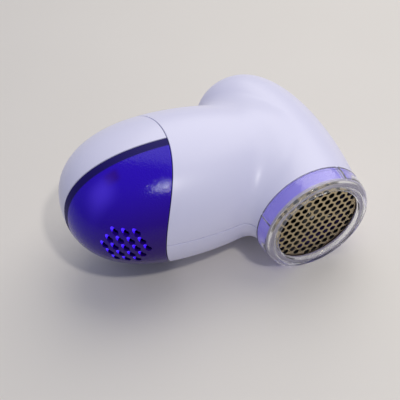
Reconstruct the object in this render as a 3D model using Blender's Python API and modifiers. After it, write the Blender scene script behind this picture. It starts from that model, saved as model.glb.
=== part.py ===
"""Electric fabric shaver, lying on its side: a superellipsoid handle that runs into an upright shaving head.

Design axes, before the part is laid down: X along the handle towards the head, Y from the shaving face up to
the dome, Z across. The two casing halves meet at Z = 0, and the cutter turns about the line X = 0, Z = 0.
"""
import math

import bmesh
import bpy
import numpy as np
from mathutils import Matrix, Vector

MM = 0.001

# Clearances
SEAT = 0.3 * MM              # between pieces that touch
SEAM = 0.3 * MM              # joint line between two outer shells
SHELL_FIT = 0.6 * MM         # between a piece trimmed to the shell and the shell's inside

# Battery cells, which set the handle's length
CELL_RADIUS = 7.25 * MM
CELL_LENGTH = 50.5 * MM
CELL_NUB_RADIUS = 2.75 * MM
CELL_NUB_LENGTH = 1.0 * MM
CELL_FRONT = 36.5 * MM       # cutter axis to the cells
REAR_ROOM = 16.6 * MM        # cells to the rear tip

# Outer body: handle
HANDLE_LENGTH = CELL_FRONT + CELL_LENGTH + REAR_ROOM   # cutter axis to the rear tip
HANDLE_WIDEST = 50.6 * MM    # cutter axis to the widest section
HANDLE_HALF_HEIGHT = 37.6 * MM
HANDLE_HALF_WIDTH = 32.5 * MM
HANDLE_POWER = 2.34          # roundness of the rear end
HANDLE_HEIGHT_DROP = 11.2 * MM   # how much lower the section is at the cutter axis
HANDLE_OVERRUN = 16.0 * MM   # the handle's form runs this far past the cutter axis, inside the head
HANDLE_AXIS_HEIGHT = 53.0 * MM   # section centre above the shaving face at the rear tip
HANDLE_AXIS_RISE = 3.9 * MM      # how much lower that centre is at the cutter axis
WALL = 2.2 * MM

# Outer body: head
HEAD_RADIUS = 26.6 * MM
MOUTH_RADIUS = 26.2 * MM
MOUTH_HEIGHT = 10.1 * MM     # casing edge above the shaving face
HEAD_FULL_HEIGHT = 20.0 * MM  # where the head reaches its full radius
HEAD_TOP = 98.7 * MM
HEAD_POWER = 4.5             # roundness of the dome
HEAD_BOW = 5.5 * MM          # how far the head leans forward at mid height
FLANK_STEP = 0.1 * MM        # at the cutter axis the handle is this much narrower than the head
HANDLE_WIDTH_DROP = HANDLE_HALF_WIDTH - HEAD_RADIUS + FLANK_STEP
BLEND = 9.0 * MM             # fillet between head and handle
BLEND_START = 14.0 * MM      # the fillet fades in from here in front of the cutter axis
BLEND_RUN = 22.0 * MM
NECK_OVERRUN = 10.0 * MM     # the head's tube runs this far below the shaving face before its mouth is cut

# Seams of the rear end
SEAM_FRONT = 53.7 * MM       # foremost point of the seam behind the cutter axis
SEAM_RADIUS = 63.0 * MM
SEAM_CENTRE_HEIGHT = 57.0 * MM
SPLIT_HEIGHT = 49.0 * MM     # plane between battery cover and collector, at the seam
SPLIT_RISE = 0.055           # rise of that plane per unit towards the rear

# Shaving head
RING_BACK_RADIUS = 27.1 * MM
RING_FRONT_RADIUS = 26.0 * MM
RING_BACK = 9.8 * MM
RING_OPENING = 20.6 * MM
RING_FACE_OUTER = 23.6 * MM
RING_FACE_INNER = 21.2 * MM
RING_LIP = 2.0 * MM
RING_WALL = 1.2 * MM
FRAME_OPENING = 21.4 * MM
FRAME_BACK = 9.6 * MM
FRAME_SEAT_RADIUS = 23.0 * MM
NECK_RADIUS = 22.7 * MM
NECK_END = 14.0 * MM
NECK_WALL = 1.3 * MM
FRAME_LIP = 0.7 * MM
FOIL_THICKNESS = 0.3 * MM
FOIL_HOLE_RADIUS = 1.35 * MM
FOIL_PITCH = 3.85 * MM
FOIL_RINGS = 5
FOIL_TURN_DEGREES = 6.0              # degrees from the handle line to a row of holes
CLAMP_WIDTH = 1.8 * MM
CLAMP_DEPTH = 2.4 * MM

# Cutter and fan on the motor shaft
BLADE_COUNT = 3
BLADE_DEPTH = 3.4 * MM
BLADE_THICKNESS = 0.5 * MM
BLADE_TIP_GAP = 0.5 * MM
HUB_RADIUS = 5.6 * MM
HUB_LENGTH = 6.0 * MM
ARM_WIDTH = 2.4 * MM
ARM_DEPTH = 3.8 * MM
ARM_SETBACK = 1.2 * MM
COUPLING_RADIUS = 3.0 * MM
COUPLING_FLANGE = 1.0 * MM
SPRING_LENGTH = 4.6 * MM
SPRING_WIRE = 0.35 * MM
SPRING_RADIUS = 4.4 * MM
SHAFT_RADIUS = 1.0 * MM
FAN_RADIUS = 18.5 * MM
FAN_HUB_RADIUS = 4.0 * MM
FAN_DEPTH = 9.3 * MM
FAN_PLATE = 1.2 * MM
VANE_COUNT = 8
VANE_THICKNESS = 1.2 * MM
HOUSING_RADIUS = 20.8 * MM
HOUSING_WALL = 1.4 * MM
HOUSING_INLET = 15.0 * MM
HOUSING_START = 15.0 * MM
HOUSING_END = 29.0 * MM

# Motor
PLATE_THICKNESS = 2.0 * MM
MOTOR_RADIUS = 12.0 * MM
MOTOR_LENGTH = 30.4 * MM
MOTOR_BOSS_RADIUS = 5.0 * MM
END_CAP_LENGTH = 4.0 * MM
END_CAP_INSET = 0.6 * MM
TERMINAL_SIZE = (2.4 * MM, 4.4 * MM, 0.6 * MM)
TERMINAL_SPREAD = 6.0 * MM
MOTOR_SCREW_SPREAD = 8.0 * MM
CAPACITOR_RADIUS = 3.2 * MM
CAPACITOR_THICKNESS = 2.2 * MM

# Lint path
DUCT_BOTTOM = 21.6 * MM
DUCT_TOP = 29.0 * MM
DUCT_HALF_WIDTH = 8.0 * MM
DUCT_WALL = 1.2 * MM
DUCT_END = 66.0 * MM
BULKHEAD_THICKNESS = 1.6 * MM
DIVIDER_THICKNESS = 1.8 * MM
DIVIDER_FRONT = 46.0 * MM
SKIRT_DEPTH = 4.4 * MM
SKIRT_WALL = 1.3 * MM
VENT_CENTRE = 85.0 * MM
VENT_PITCH = 4.8 * MM
VENT_HOLE_RADIUS = 1.6 * MM
VENT_RINGS = 2
VENT_LEAN_DEGREES = 30.0             # degrees that the vent's axis leans back from straight down

# Battery bay
CELL_SPREAD = 7.6 * MM
CONTACT_SPRING_LENGTH = 3.5 * MM
CONTACT_SPRING_RADIUS = 3.2 * MM
CONTACT_SPRING_WIRE = 0.35 * MM
CONTACT_THICKNESS = 0.6 * MM
CONTACT_HALF_SIZE = 4.6 * MM
TRAY_FLOOR = 2.6 * MM
TRAY_WALL = 1.2 * MM
TRAY_END_WALL = 1.4 * MM
TRAY_SIDE_HEIGHT = 6.6 * MM
TRAY_END_HEIGHT = 14.6 * MM

# Switches
KNOB_PLACE = 41.0 * MM
KNOB_TRAVEL = 6.0 * MM
KNOB_LENGTH = 10.0 * MM
KNOB_WIDTH = 8.0 * MM
KNOB_PROUD = 0.7 * MM
KNOB_RIB = 1.1 * MM
KNOB_RIB_COUNT = 4
POCKET_DEPTH = 1.2 * MM
POCKET_MARGIN = 0.6 * MM
STEM_LENGTH = 4.0 * MM
STEM_WIDTH = 3.6 * MM
STEM_END = 6.0 * MM
LEVER_SIZE = 3.0 * MM
LEVER_HEIGHT = 2.7 * MM
SWITCH_SIZE = (16.0 * MM, 6.2 * MM, 8.0 * MM)
PLUNGER_PLACE = 22.0 * MM
PLUNGER_RADIUS = 0.9 * MM
PLUNGER_END = 29.9 * MM
SAFETY_SWITCH_SIZE = (7.0 * MM, 8.0 * MM, 6.4 * MM)

# Case screws: place behind the cutter axis and height, one for each
SCREW_PLACES = ((-40.0 * MM, 42.0 * MM), (20.0 * MM, 50.0 * MM), (10.0 * MM, 84.0 * MM), (-22.0 * MM, 70.0 * MM))
BOSS_RADIUS = 3.6 * MM
SCREW_HEAD_RADIUS = 2.3 * MM
SCREW_HEAD_LENGTH = 1.8 * MM
SCREW_SHANK_RADIUS = 1.1 * MM
SCREW_SEAT_DEPTH = 12.0 * MM
SCREW_GRIP = 7.0 * MM

# Wires
WIRE_RADIUS = 0.7 * MM

# How it lies on a table: on the flank of its handle
REST_PITCH_DEGREES = 5.9             # degrees, head end down
REST_ROLL_DEGREES = 1.6              # degrees, shaving face down

# Mesh fineness
RAY_COUNT_AROUND = 46
RAY_COUNT_UP = 23
REAR_CROWDING = 0.42         # share by which the rays crowd towards the far rear end
MIDDLE_CROWDING = 0.4        # share by which the rays crowd towards the middle plane
RAY_START = 10.0 * MM        # the rays start this far behind the cutter axis
NECK_RAY_COUNT = 10               # extra rays into the hollow between the head and the handle's belly
NECK_SECTOR_DEGREES = (-135.0, -100.0)   # degrees
TURN_STEP_COUNT = 40
FAR = 200.0 * MM

# Finishes: colour, roughness, metallic
WHITE = ((0.78, 0.77, 0.88), 0.3, 0.0)
VIOLET = ((0.09, 0.03, 0.5), 0.2, 0.0)
DEEP_VIOLET = ((0.03, 0.01, 0.16), 0.35, 0.0)
CLEAR = ((0.85, 0.87, 0.93), 0.08, 0.0)
PALE_PLASTIC = ((0.7, 0.7, 0.72), 0.5, 0.0)
BLACK_PLASTIC = ((0.02, 0.02, 0.025), 0.5, 0.0)
STEEL = ((0.6, 0.6, 0.62), 0.28, 1.0)
SPRING_STEEL = ((0.5, 0.5, 0.5), 0.35, 1.0)
NICKEL = ((0.7, 0.68, 0.62), 0.3, 1.0)
BRASS = ((0.75, 0.55, 0.25), 0.3, 1.0)
CELL_SLEEVE = ((0.12, 0.12, 0.14), 0.4, 0.0)
CERAMIC = ((0.75, 0.35, 0.12), 0.6, 0.0)
RED_SHEATH = ((0.6, 0.03, 0.02), 0.5, 0.0)
BLACK_SHEATH = ((0.02, 0.02, 0.02), 0.5, 0.0)


def head_level(points, inset):
    """Positive inside the head: a bowed tube that closes in a superellipsoid dome."""
    height = points[..., 1]
    share = (height - MOUTH_HEIGHT) / (HEAD_TOP - MOUTH_HEIGHT)
    centre = HEAD_BOW * 4 * share * (1 - share)
    below = np.clip((HEAD_FULL_HEIGHT - height) / (HEAD_FULL_HEIGHT - MOUTH_HEIGHT), 0, 1.4)
    radius = HEAD_RADIUS - (HEAD_RADIUS - MOUTH_RADIUS) * below ** 2 - inset
    out = np.hypot(points[..., 0] - centre, points[..., 2]) / radius
    up = np.clip((height - HEAD_FULL_HEIGHT) / (HEAD_TOP - inset - HEAD_FULL_HEIGHT), 0, None)
    return (1 - (up ** HEAD_POWER + out ** HEAD_POWER) ** (1 / HEAD_POWER)) * radius


def handle_section(behind, inset):
    """Half height, half width and centre height of the handle, before its rear end closes."""
    drop = np.clip((HANDLE_WIDEST - behind) / HANDLE_WIDEST, 0, 1.3) ** 2
    half_height = HANDLE_HALF_HEIGHT - HANDLE_HEIGHT_DROP * drop - inset
    half_width = HANDLE_HALF_WIDTH - HANDLE_WIDTH_DROP * drop - inset
    centre = HANDLE_AXIS_HEIGHT - HANDLE_AXIS_RISE * (1 - behind / HANDLE_LENGTH) ** 2
    return half_height, half_width, centre


def handle_level(points, inset):
    """Positive inside the handle: elliptical sections, closed at the rear as a superellipsoid."""
    behind = -points[..., 0]
    half_height, half_width, centre = handle_section(behind, inset)
    back = np.clip((behind - HANDLE_WIDEST) / (HANDLE_LENGTH - inset - HANDLE_WIDEST), 0, None)
    out = np.hypot((points[..., 1] - centre) / half_height, points[..., 2] / half_width)
    level = (1 - (back ** HANDLE_POWER + out ** HANDLE_POWER) ** (1 / HANDLE_POWER)) * half_width
    return np.minimum(level, behind + HANDLE_OVERRUN)


def body_level(points, inset):
    """Head and handle joined with a fillet that fades out smoothly over the head's flanks."""
    head = head_level(points, inset)
    handle = handle_level(points, inset)
    share = np.clip((BLEND_START - points[..., 0]) / BLEND_RUN, 0, 1)
    fillet = BLEND * share * share * (3 - 2 * share) + 1e-9
    near = np.clip(fillet - np.abs(head - handle), 0, None) / fillet
    joined = np.maximum(head, handle) + near * near * fillet / 4
    return np.minimum(joined, points[..., 1] + NECK_OVERRUN + inset)


def last_inside(start, directions, inset):
    """Distance along each direction to the body's surface, by halving the interval."""
    low = np.zeros(directions.shape[:-1])
    high = np.full(directions.shape[:-1], HANDLE_LENGTH + HEAD_RADIUS)
    for _ in range(30):
        middle = (low + high) / 2
        inside = body_level(start + directions * middle[..., None], inset) > 0
        low = np.where(inside, middle, low)
        high = np.where(inside, high, middle)
    return low


def surface_along(start, direction, inset=0.0):
    """The one point where a line from start leaves the body."""
    start = np.array(start)
    direction = np.array(direction, dtype=float)
    direction /= np.linalg.norm(direction)
    return start + direction * last_inside(start, direction[None, :], inset)[0]


def seam_behind(height, offset=0.0):
    """Distance of the rear seam behind the cutter axis at a height; offset moves it forward."""
    radius = SEAM_RADIUS + offset
    return SEAM_FRONT + SEAM_RADIUS - math.sqrt(radius ** 2 - (height - SEAM_CENTRE_HEIGHT) ** 2)


def split_height(behind):
    """Height of the plane between the battery cover and the collector."""
    return SPLIT_HEIGHT + SPLIT_RISE * (behind - SEAM_FRONT)


for leftover in list(bpy.data.objects):
    bpy.data.objects.remove(leftover)

PARTS = bpy.data.collections.new("fabric_shaver")
TOOLS = bpy.data.collections.new("cutters")
for group in (PARTS, TOOLS):
    bpy.context.scene.collection.children.link(group)

REST = bpy.data.objects.new("lying_pose", None)
PARTS.objects.link(REST)
REST.rotation_euler = (math.radians(REST_ROLL_DEGREES), math.radians(REST_PITCH_DEGREES), 0)

# Turned pieces stand on this empty: its local Z is the cutter axis, pointing from the shaving face to the dome.
CUTTER_AXIS = bpy.data.objects.new("cutter_axis", None)
PARTS.objects.link(CUTTER_AXIS)
CUTTER_AXIS.parent = REST
CUTTER_AXIS.rotation_euler = (-math.pi / 2, 0, 0)


def add(name, data, finish=None, parent=REST):
    """Link an object; one with a finish is a piece of the product, one without is a cutter."""
    item = bpy.data.objects.new(name, data)
    item.parent = parent
    if finish is None:
        TOOLS.objects.link(item)
        item.hide_render = True
        item.display_type = "WIRE"
        return item
    PARTS.objects.link(item)
    dress(item, finish)
    return item


def dress(item, finish):
    """Give a piece its own Principled material."""
    colour, roughness, metallic = finish
    paint = bpy.data.materials.new(item.name + "_finish")
    paint.use_nodes = True
    shader = paint.node_tree.nodes["Principled BSDF"]
    shader.inputs["Base Color"].default_value = (*colour, 1)
    shader.inputs["Roughness"].default_value = roughness
    shader.inputs["Metallic"].default_value = metallic
    item.data.materials.append(paint)


def mesh_of(name, shape):
    """A mesh datablock from a bmesh, shaded smooth with sharp edges kept."""
    bmesh.ops.recalc_face_normals(shape, faces=shape.faces)
    data = bpy.data.meshes.new(name)
    shape.to_mesh(data)
    shape.free()
    data.shade_smooth()
    data.set_sharp_from_angle(angle=math.radians(35))
    return data


def block(name, low, high, finish=None, parent=REST):
    """A box between two corners."""
    shape = bmesh.new()
    add_block(shape, low, high)
    return add(name, mesh_of(name, shape), finish, parent)


def add_block(shape, low, high, turn=None):
    """Put a box between two corners into a bmesh."""
    low = Vector(low)
    high = Vector(high)
    size = Matrix.Diagonal((*(high - low), 1))
    place = Matrix.Translation((low + high) / 2) @ size
    if turn is not None:
        place = turn @ place
    bmesh.ops.create_cube(shape, size=1, matrix=place)


def add_rod(shape, start, end, radius, sides=16):
    """Put a cylinder between two points into a bmesh."""
    start = Vector(start)
    end = Vector(end)
    along = end - start
    turn = along.to_track_quat("Z", "Y").to_matrix().to_4x4()
    place = Matrix.Translation((start + end) / 2) @ turn
    bmesh.ops.create_cone(shape, cap_ends=True, segments=sides, radius1=radius, radius2=radius,
                          depth=along.length, matrix=place)


def rods(name, runs, radius, finish=None, parent=REST, sides=16):
    """One object of parallel or single rods, each given by its two ends."""
    shape = bmesh.new()
    for start, end in runs:
        add_rod(shape, start, end, radius, sides)
    return add(name, mesh_of(name, shape), finish, parent)


def turned(name, profile, finish=None, steps=TURN_STEP_COUNT):
    """A closed profile of (radius, height) turned about the cutter axis."""
    data = bpy.data.meshes.new(name)
    points = [(radius, 0, height) for radius, height in profile]
    edges = [(i, (i + 1) % len(points)) for i in range(len(points))]
    data.from_pydata(points, edges, [])
    item = add(name, data, finish, CUTTER_AXIS)
    screw = item.modifiers.new("turn", "SCREW")
    screw.axis = "Z"
    screw.steps = steps
    screw.render_steps = steps
    screw.use_merge_vertices = True
    screw.merge_threshold = 1e-5
    screw.use_normal_calculate = False
    screw.use_smooth_shade = True
    return item


def sleeve(outer, inner, start, end):
    """Profile of a plain ring."""
    return ((outer, end), (outer, start), (inner, start), (inner, end))


def outline(name, corners, half_width, finish=None):
    """A flat outline in the design's X-Y plane, given a thickness across Z, as a mesh."""
    flat = bpy.data.curves.new(name, "CURVE")
    flat.dimensions = "2D"
    flat.fill_mode = "BOTH"
    flat.extrude = half_width
    spline = flat.splines.new("POLY")
    spline.points.add(len(corners) - 1)
    for point, (x, y) in zip(spline.points, corners):
        point.co = (x, y, 0, 1)
    spline.use_cyclic_u = True
    return add(name, closed_mesh(name, flat), finish)


def closed_mesh(name, curve_data):
    """The mesh of a curve, with its caps welded on."""
    drawn = bpy.data.objects.new(name + "_drawn", curve_data)
    bpy.context.scene.collection.objects.link(drawn)
    graph = bpy.context.evaluated_depsgraph_get()
    raw = bpy.data.meshes.new_from_object(drawn.evaluated_get(graph))
    shape = bmesh.new()
    shape.from_mesh(raw)
    bmesh.ops.remove_doubles(shape, verts=shape.verts, dist=1e-6)
    bpy.data.objects.remove(drawn)
    return mesh_of(name, shape)


def tube(name, points, radius, finish, parent=REST, sides_level=1):
    """A round wire through the points, with closed ends."""
    path = bpy.data.curves.new(name, "CURVE")
    path.dimensions = "3D"
    path.bevel_depth = radius
    path.bevel_resolution = sides_level
    path.use_fill_caps = True
    spline = path.splines.new("POLY")
    spline.points.add(len(points) - 1)
    for point, place in zip(spline.points, points):
        point.co = (*place, 1)
    return add(name, path, finish, parent)


def change(item, operation, other, label):
    """A Boolean step on a piece; where a skin of the body takes part, the manifold solver makes it."""
    step = item.modifiers.new(label, "BOOLEAN")
    step.operation = operation
    step.object = other
    skin = "skin" in item.data.name or "skin" in other.data.name
    step.solver = "MANIFOLD" if skin else "EXACT"


def cut(item, *others):
    """Take other shapes out of a piece."""
    for other in others:
        change(item, "DIFFERENCE", other, "cut_" + other.name)


def keep(item, *others):
    """Keep only what lies inside other shapes."""
    for other in others:
        change(item, "INTERSECT", other, "keep_" + other.name)


def join(item, *others):
    """Fuse other shapes to a piece."""
    for other in others:
        change(item, "UNION", other, "join_" + other.name)


def body(name, inset, finish=None):
    """The whole body as one closed skin, sampled along rays from a point inside it."""
    start = np.array((-RAY_START, (MOUTH_HEIGHT + HEAD_TOP) / 2, 0))
    even = np.arange(RAY_COUNT_AROUND) * 2 * math.pi / RAY_COUNT_AROUND - math.pi
    turns = even + REAR_CROWDING * np.sin(even)
    neck_low, neck_high = (math.radians(angle) for angle in NECK_SECTOR_DEGREES)
    outside = turns[(turns < neck_low - 0.04) | (turns > neck_high + 0.04)]
    turns = np.sort(np.concatenate((outside, np.linspace(neck_low, neck_high, NECK_RAY_COUNT))))
    share = np.arange(1, RAY_COUNT_UP) / RAY_COUNT_UP * 2 - 1
    lifts = (share * (1 - MIDDLE_CROWDING) + share ** 3 * MIDDLE_CROWDING) * math.pi / 2
    turn, lift = np.meshgrid(turns, lifts)
    ways = np.stack((np.cos(lift) * np.cos(turn), np.cos(lift) * np.sin(turn), np.sin(lift)), axis=-1)
    skin = start + ways * last_inside(start, ways, inset)[..., None]
    poles = [surface_along(start, (0, 0, -1), inset), surface_along(start, (0, 0, 1), inset)]
    points = [tuple(p) for p in skin.reshape(-1, 3)] + [tuple(p) for p in poles]
    rows = RAY_COUNT_UP - 1
    count = len(turns)
    south = rows * count
    faces = []
    for i in range(count):
        j = (i + 1) % count
        faces.append((south, j, i))
        faces.append((south + 1, (rows - 1) * count + i, (rows - 1) * count + j))
        for row in range(rows - 1):
            low = row * count
            high = low + count
            faces.append((low + i, low + j, high + j, high + i))
    data = bpy.data.meshes.new(name)
    data.from_pydata(points, [], faces)
    shape = bmesh.new()
    shape.from_mesh(data)
    return add(name, mesh_of(name + "_skin", shape), finish)


# Regions that the outer skin is divided into

def seam_arc(offset, low, high, steps=14):
    """Points along the rear seam from one height to another, moved forward by offset."""
    heights = [low + (high - low) * i / steps for i in range(steps + 1)]
    return [(-seam_behind(height, offset), height) for height in heights]


SEAM_LOW = 2 * MM
SEAM_HIGH = 108 * MM


def rear_region(name, offset):
    """Everything behind the seam, moved forward by offset."""
    rear = [(-FAR, SEAM_HIGH), (-FAR, SEAM_LOW)]
    return outline(name, seam_arc(offset, SEAM_LOW, SEAM_HIGH) + rear, FAR)


def split_region(name, top, bottom, front=-FAR, rear=FAR):
    """A slab between two offsets from the split plane, from a front to a rear distance behind the axis."""
    ends = [(-front, split_height(front)), (-rear, split_height(rear))]
    upper = [(x, y + top) for x, y in ends]
    lower = [(x, y + bottom) for x, y in reversed(ends)]
    return outline(name, upper + lower, FAR)


inner_body = body("inner_body", WALL)
close_body = body("close_body", WALL + SHELL_FIT)
skirt_body = body("skirt_body", WALL + SHELL_FIT + SKIRT_WALL)
mid_body = body("mid_body", WALL / 2)
behind_seam = rear_region("behind_seam", SEAM / 2)
rear_shells = rear_region("rear_shells", -SEAM / 2)
above_split = split_region("above_split", FAR, SEAM / 2)
below_split = split_region("below_split", -SEAM / 2, -FAR)
below_mouth = block("below_mouth", (-FAR, -FAR, -FAR), (FAR, MOUTH_HEIGHT, FAR))
lower_side = block("lower_side", (-FAR, -FAR, -FAR), (FAR, FAR, SEAM / 2))
upper_side = block("upper_side", (-FAR, -FAR, -SEAM / 2), (FAR, FAR, FAR))

# Switch frame: its local X runs along the handle's ridge and its local Y stands out of the skin

ridge = surface_along((-KNOB_PLACE, HANDLE_AXIS_HEIGHT, 0), (0, 1, 0))
ridge_ahead = surface_along((-KNOB_PLACE + KNOB_LENGTH, HANDLE_AXIS_HEIGHT, 0), (0, 1, 0))
SWITCH_FRAME = bpy.data.objects.new("switch_frame", None)
PARTS.objects.link(SWITCH_FRAME)
SWITCH_FRAME.parent = REST
SWITCH_FRAME.location = ridge
SWITCH_FRAME.rotation_euler = (0, 0, math.atan2(ridge_ahead[1] - ridge[1], ridge_ahead[0] - ridge[0]))


def in_switch_frame(name, length, bottom, top, width, finish=None, shift=0.0):
    """A box centred on the switch's ridge, between two heights over the skin."""
    low = (shift - length / 2, bottom, -width / 2)
    high = (shift + length / 2, top, width / 2)
    return block(name, low, high, finish, SWITCH_FRAME)


pocket_length = KNOB_LENGTH + KNOB_TRAVEL + 2 * POCKET_MARGIN
pocket = in_switch_frame("knob_pocket", pocket_length, -POCKET_DEPTH, 3 * WALL, KNOB_WIDTH + 2 * POCKET_MARGIN)
slot_length = STEM_LENGTH + KNOB_TRAVEL + 2 * POCKET_MARGIN
slot = in_switch_frame("knob_slot", slot_length, -4 * WALL, WALL, STEM_WIDTH + 2 * POCKET_MARGIN)

# Casing halves, with bosses for four screws

shape = bmesh.new()
for x, y in SCREW_PLACES:
    add_rod(shape, (x, y, -HANDLE_HALF_WIDTH - WALL), (x, y, HANDLE_HALF_WIDTH + WALL), BOSS_RADIUS, 12)
bosses = add("screw_bosses", mesh_of("screw_bosses", shape))
keep(bosses, mid_body)

bore_runs = [((x, y, -SCREW_SEAT_DEPTH - 1 * MM), (x, y, SCREW_GRIP + 1.5 * MM)) for x, y in SCREW_PLACES]
screw_bores = rods("screw_bores", bore_runs, SCREW_SHANK_RADIUS + SEAT, sides=8)
head_runs = [((x, y, -FAR), (x, y, -SCREW_SEAT_DEPTH)) for x, y in SCREW_PLACES]
head_bores = rods("head_bores", head_runs, SCREW_HEAD_RADIUS + SEAT, sides=12)

casing_upper = body("casing_upper", 0, WHITE)
casing_lower = body("casing_lower", 0, WHITE)
for casing, other_side in ((casing_upper, lower_side), (casing_lower, upper_side)):
    cut(casing, inner_body)
    join(casing, bosses)
    cut(casing, below_mouth, behind_seam, other_side, screw_bores, head_bores, pocket, slot)


def screw(name, seat, tip, head_length):
    """A pan-head screw whose head stands on its seat, away from its tip."""
    seat = Vector(seat)
    top = seat + (seat - Vector(tip)).normalized() * head_length
    item = rods(name, [(top, tip)], SCREW_SHANK_RADIUS, STEEL, sides=8)
    join(item, rods(name + "_head", [(top, seat)], SCREW_HEAD_RADIUS, sides=12))


for i, (x, y) in enumerate(SCREW_PLACES):
    screw("case_screw_%d" % (i + 1), (x, y, -SCREW_SEAT_DEPTH - SEAT), (x, y, SCREW_GRIP), SCREW_HEAD_LENGTH)

# Battery cover and lint collector

battery_cover = body("battery_cover", 0, WHITE)
cut(battery_cover, inner_body)
keep(battery_cover, rear_shells, above_split)

lint_collector = body("lint_collector", 0, VIOLET)
cut(lint_collector, inner_body)
keep(lint_collector, rear_shells, below_split)

vent_point = surface_along((-VENT_CENTRE, HANDLE_AXIS_HEIGHT, 0), (0, -1, 0))
lean = math.radians(VENT_LEAN_DEGREES)
vent_out = np.array((-math.sin(lean), -math.cos(lean), 0))
vent_along = np.array((math.cos(lean), -math.sin(lean), 0))


def hexagon_grid(rings, pitch):
    """Centres of a hexagonal patch with a number of rings round the middle one."""
    places = []
    for a in range(-rings, rings + 1):
        for b in range(-rings, rings + 1):
            if abs(a + b) <= rings:
                places.append((pitch * (a + b / 2), pitch * b * math.sqrt(3) / 2))
    return places


shape = bmesh.new()
for along, across in hexagon_grid(VENT_RINGS, VENT_PITCH):
    middle = vent_point + vent_along * along + np.array((0, 0, across))
    add_rod(shape, middle - vent_out * 4 * WALL, middle + vent_out * 4 * WALL, VENT_HOLE_RADIUS, 6)
vent_holes = add("vent_holes", mesh_of("vent_holes", shape))
cut(lint_collector, vent_holes)

# Divider: the dark floor of the battery bay, whose skirt lies inside the collector's rim

divider = split_region("divider_slab", 0, -DIVIDER_THICKNESS - SKIRT_DEPTH, DIVIDER_FRONT)
TOOLS.objects.unlink(divider)
PARTS.objects.link(divider)
divider.name = "battery_bay_floor"
divider.hide_render = False
divider.display_type = "TEXTURED"
dress(divider, DEEP_VIOLET)
keep(divider, close_body)
skirt_hollow = split_region("skirt_hollow", -DIVIDER_THICKNESS, -FAR)
join(skirt_body, block("skirt_front", (-SEAM_FRONT - 2 * MM, -FAR, -FAR), (FAR, FAR, FAR)))
keep(skirt_hollow, skirt_body)
cut(divider, skirt_hollow)

# Bulkhead in front of the collector, and the duct that runs through it

bulkhead_top = SPLIT_HEIGHT - DIVIDER_THICKNESS - SEAT
bulkhead_rear = seam_arc(SEAM / 2 + SEAT, SEAM_LOW, bulkhead_top)
bulkhead_front = seam_arc(SEAM / 2 + SEAT + BULKHEAD_THICKNESS, SEAM_LOW, bulkhead_top)
bulkhead = outline("collector_bulkhead", bulkhead_rear + bulkhead_front[::-1], FAR, DEEP_VIOLET)
keep(bulkhead, close_body)
duct_start = HOUSING_RADIUS + SEAT
duct_window = block("duct_window", (-DUCT_END - FAR, DUCT_BOTTOM - SEAT, -DUCT_HALF_WIDTH - SEAT),
                    (-duct_start, DUCT_TOP + SEAT, DUCT_HALF_WIDTH + SEAT))
cut(bulkhead, duct_window)

lint_duct = block("lint_duct", (-DUCT_END, DUCT_BOTTOM, -DUCT_HALF_WIDTH), (-duct_start, DUCT_TOP, DUCT_HALF_WIDTH),
                  PALE_PLASTIC)
duct_bore = block("duct_bore", (-DUCT_END - FAR, DUCT_BOTTOM + DUCT_WALL, -DUCT_HALF_WIDTH + DUCT_WALL),
                  (FAR, DUCT_TOP - DUCT_WALL, DUCT_HALF_WIDTH - DUCT_WALL))
cut(lint_duct, duct_bore)

# Spacer ring, foil frame, foil and clamp: turned about the cutter axis

frame_front = RING_LIP + 0.4 * MM
frame_radius = RING_BACK_RADIUS - RING_WALL - 2 * SEAT
turned("spacer_ring", (
    (RING_BACK_RADIUS, RING_BACK), (RING_BACK_RADIUS - 0.2 * MM, 6.0 * MM), (RING_BACK_RADIUS - 0.6 * MM, 2.6 * MM),
    (RING_FRONT_RADIUS - 0.1 * MM, 0.9 * MM), (RING_FRONT_RADIUS - 1.1 * MM, 0.15 * MM), (RING_FACE_OUTER, 0),
    (RING_FACE_INNER, 0), (RING_OPENING, 0.5 * MM), (RING_OPENING, 1.5 * MM), (RING_FACE_INNER, RING_LIP),
    (frame_radius - 0.2 * MM, RING_LIP), (frame_radius + SEAT, RING_LIP + 0.8 * MM),
    (RING_BACK_RADIUS - RING_WALL, RING_BACK)), CLEAR)

foil_front = frame_front + FRAME_LIP + SEAT
foil_back = foil_front + FOIL_THICKNESS
foil_radius = FRAME_SEAT_RADIUS - SEAT
turned("foil_frame", (
    (NECK_RADIUS, NECK_END), (NECK_RADIUS, FRAME_BACK), (frame_radius, FRAME_BACK),
    (frame_radius, frame_front + 1.0 * MM), (frame_radius - 0.7 * MM, frame_front), (FRAME_OPENING, frame_front),
    (FRAME_OPENING, frame_front + FRAME_LIP), (FRAME_SEAT_RADIUS, frame_front + FRAME_LIP),
    (FRAME_SEAT_RADIUS, FRAME_BACK - 1.0 * MM), (NECK_RADIUS - NECK_WALL, FRAME_BACK - 0.2 * MM),
    (NECK_RADIUS - NECK_WALL, NECK_END)), VIOLET)

foil = rods("cutting_foil", [((0, 0, foil_front), (0, 0, foil_back))], foil_radius, STEEL, CUTTER_AXIS, 48)
row_turn = math.radians(FOIL_TURN_DEGREES)
foil_runs = []
for along, across in hexagon_grid(FOIL_RINGS, FOIL_PITCH):
    x = along * math.cos(row_turn) - across * math.sin(row_turn)
    y = -along * math.sin(row_turn) - across * math.cos(row_turn)
    foil_runs.append(((x, y, foil_front - WALL), (x, y, foil_back + WALL)))
foil_holes = rods("foil_holes", foil_runs, FOIL_HOLE_RADIUS, None, CUTTER_AXIS, 6)
cut(foil, foil_holes)

clamp_start = foil_back + SEAT
clamp_inner = foil_radius - CLAMP_WIDTH
turned("foil_clamp", sleeve(foil_radius, clamp_inner, clamp_start, clamp_start + CLAMP_DEPTH), PALE_PLASTIC)

# Cutter: three blades on a sprung carrier, driven by a coupling on the motor shaft

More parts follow.
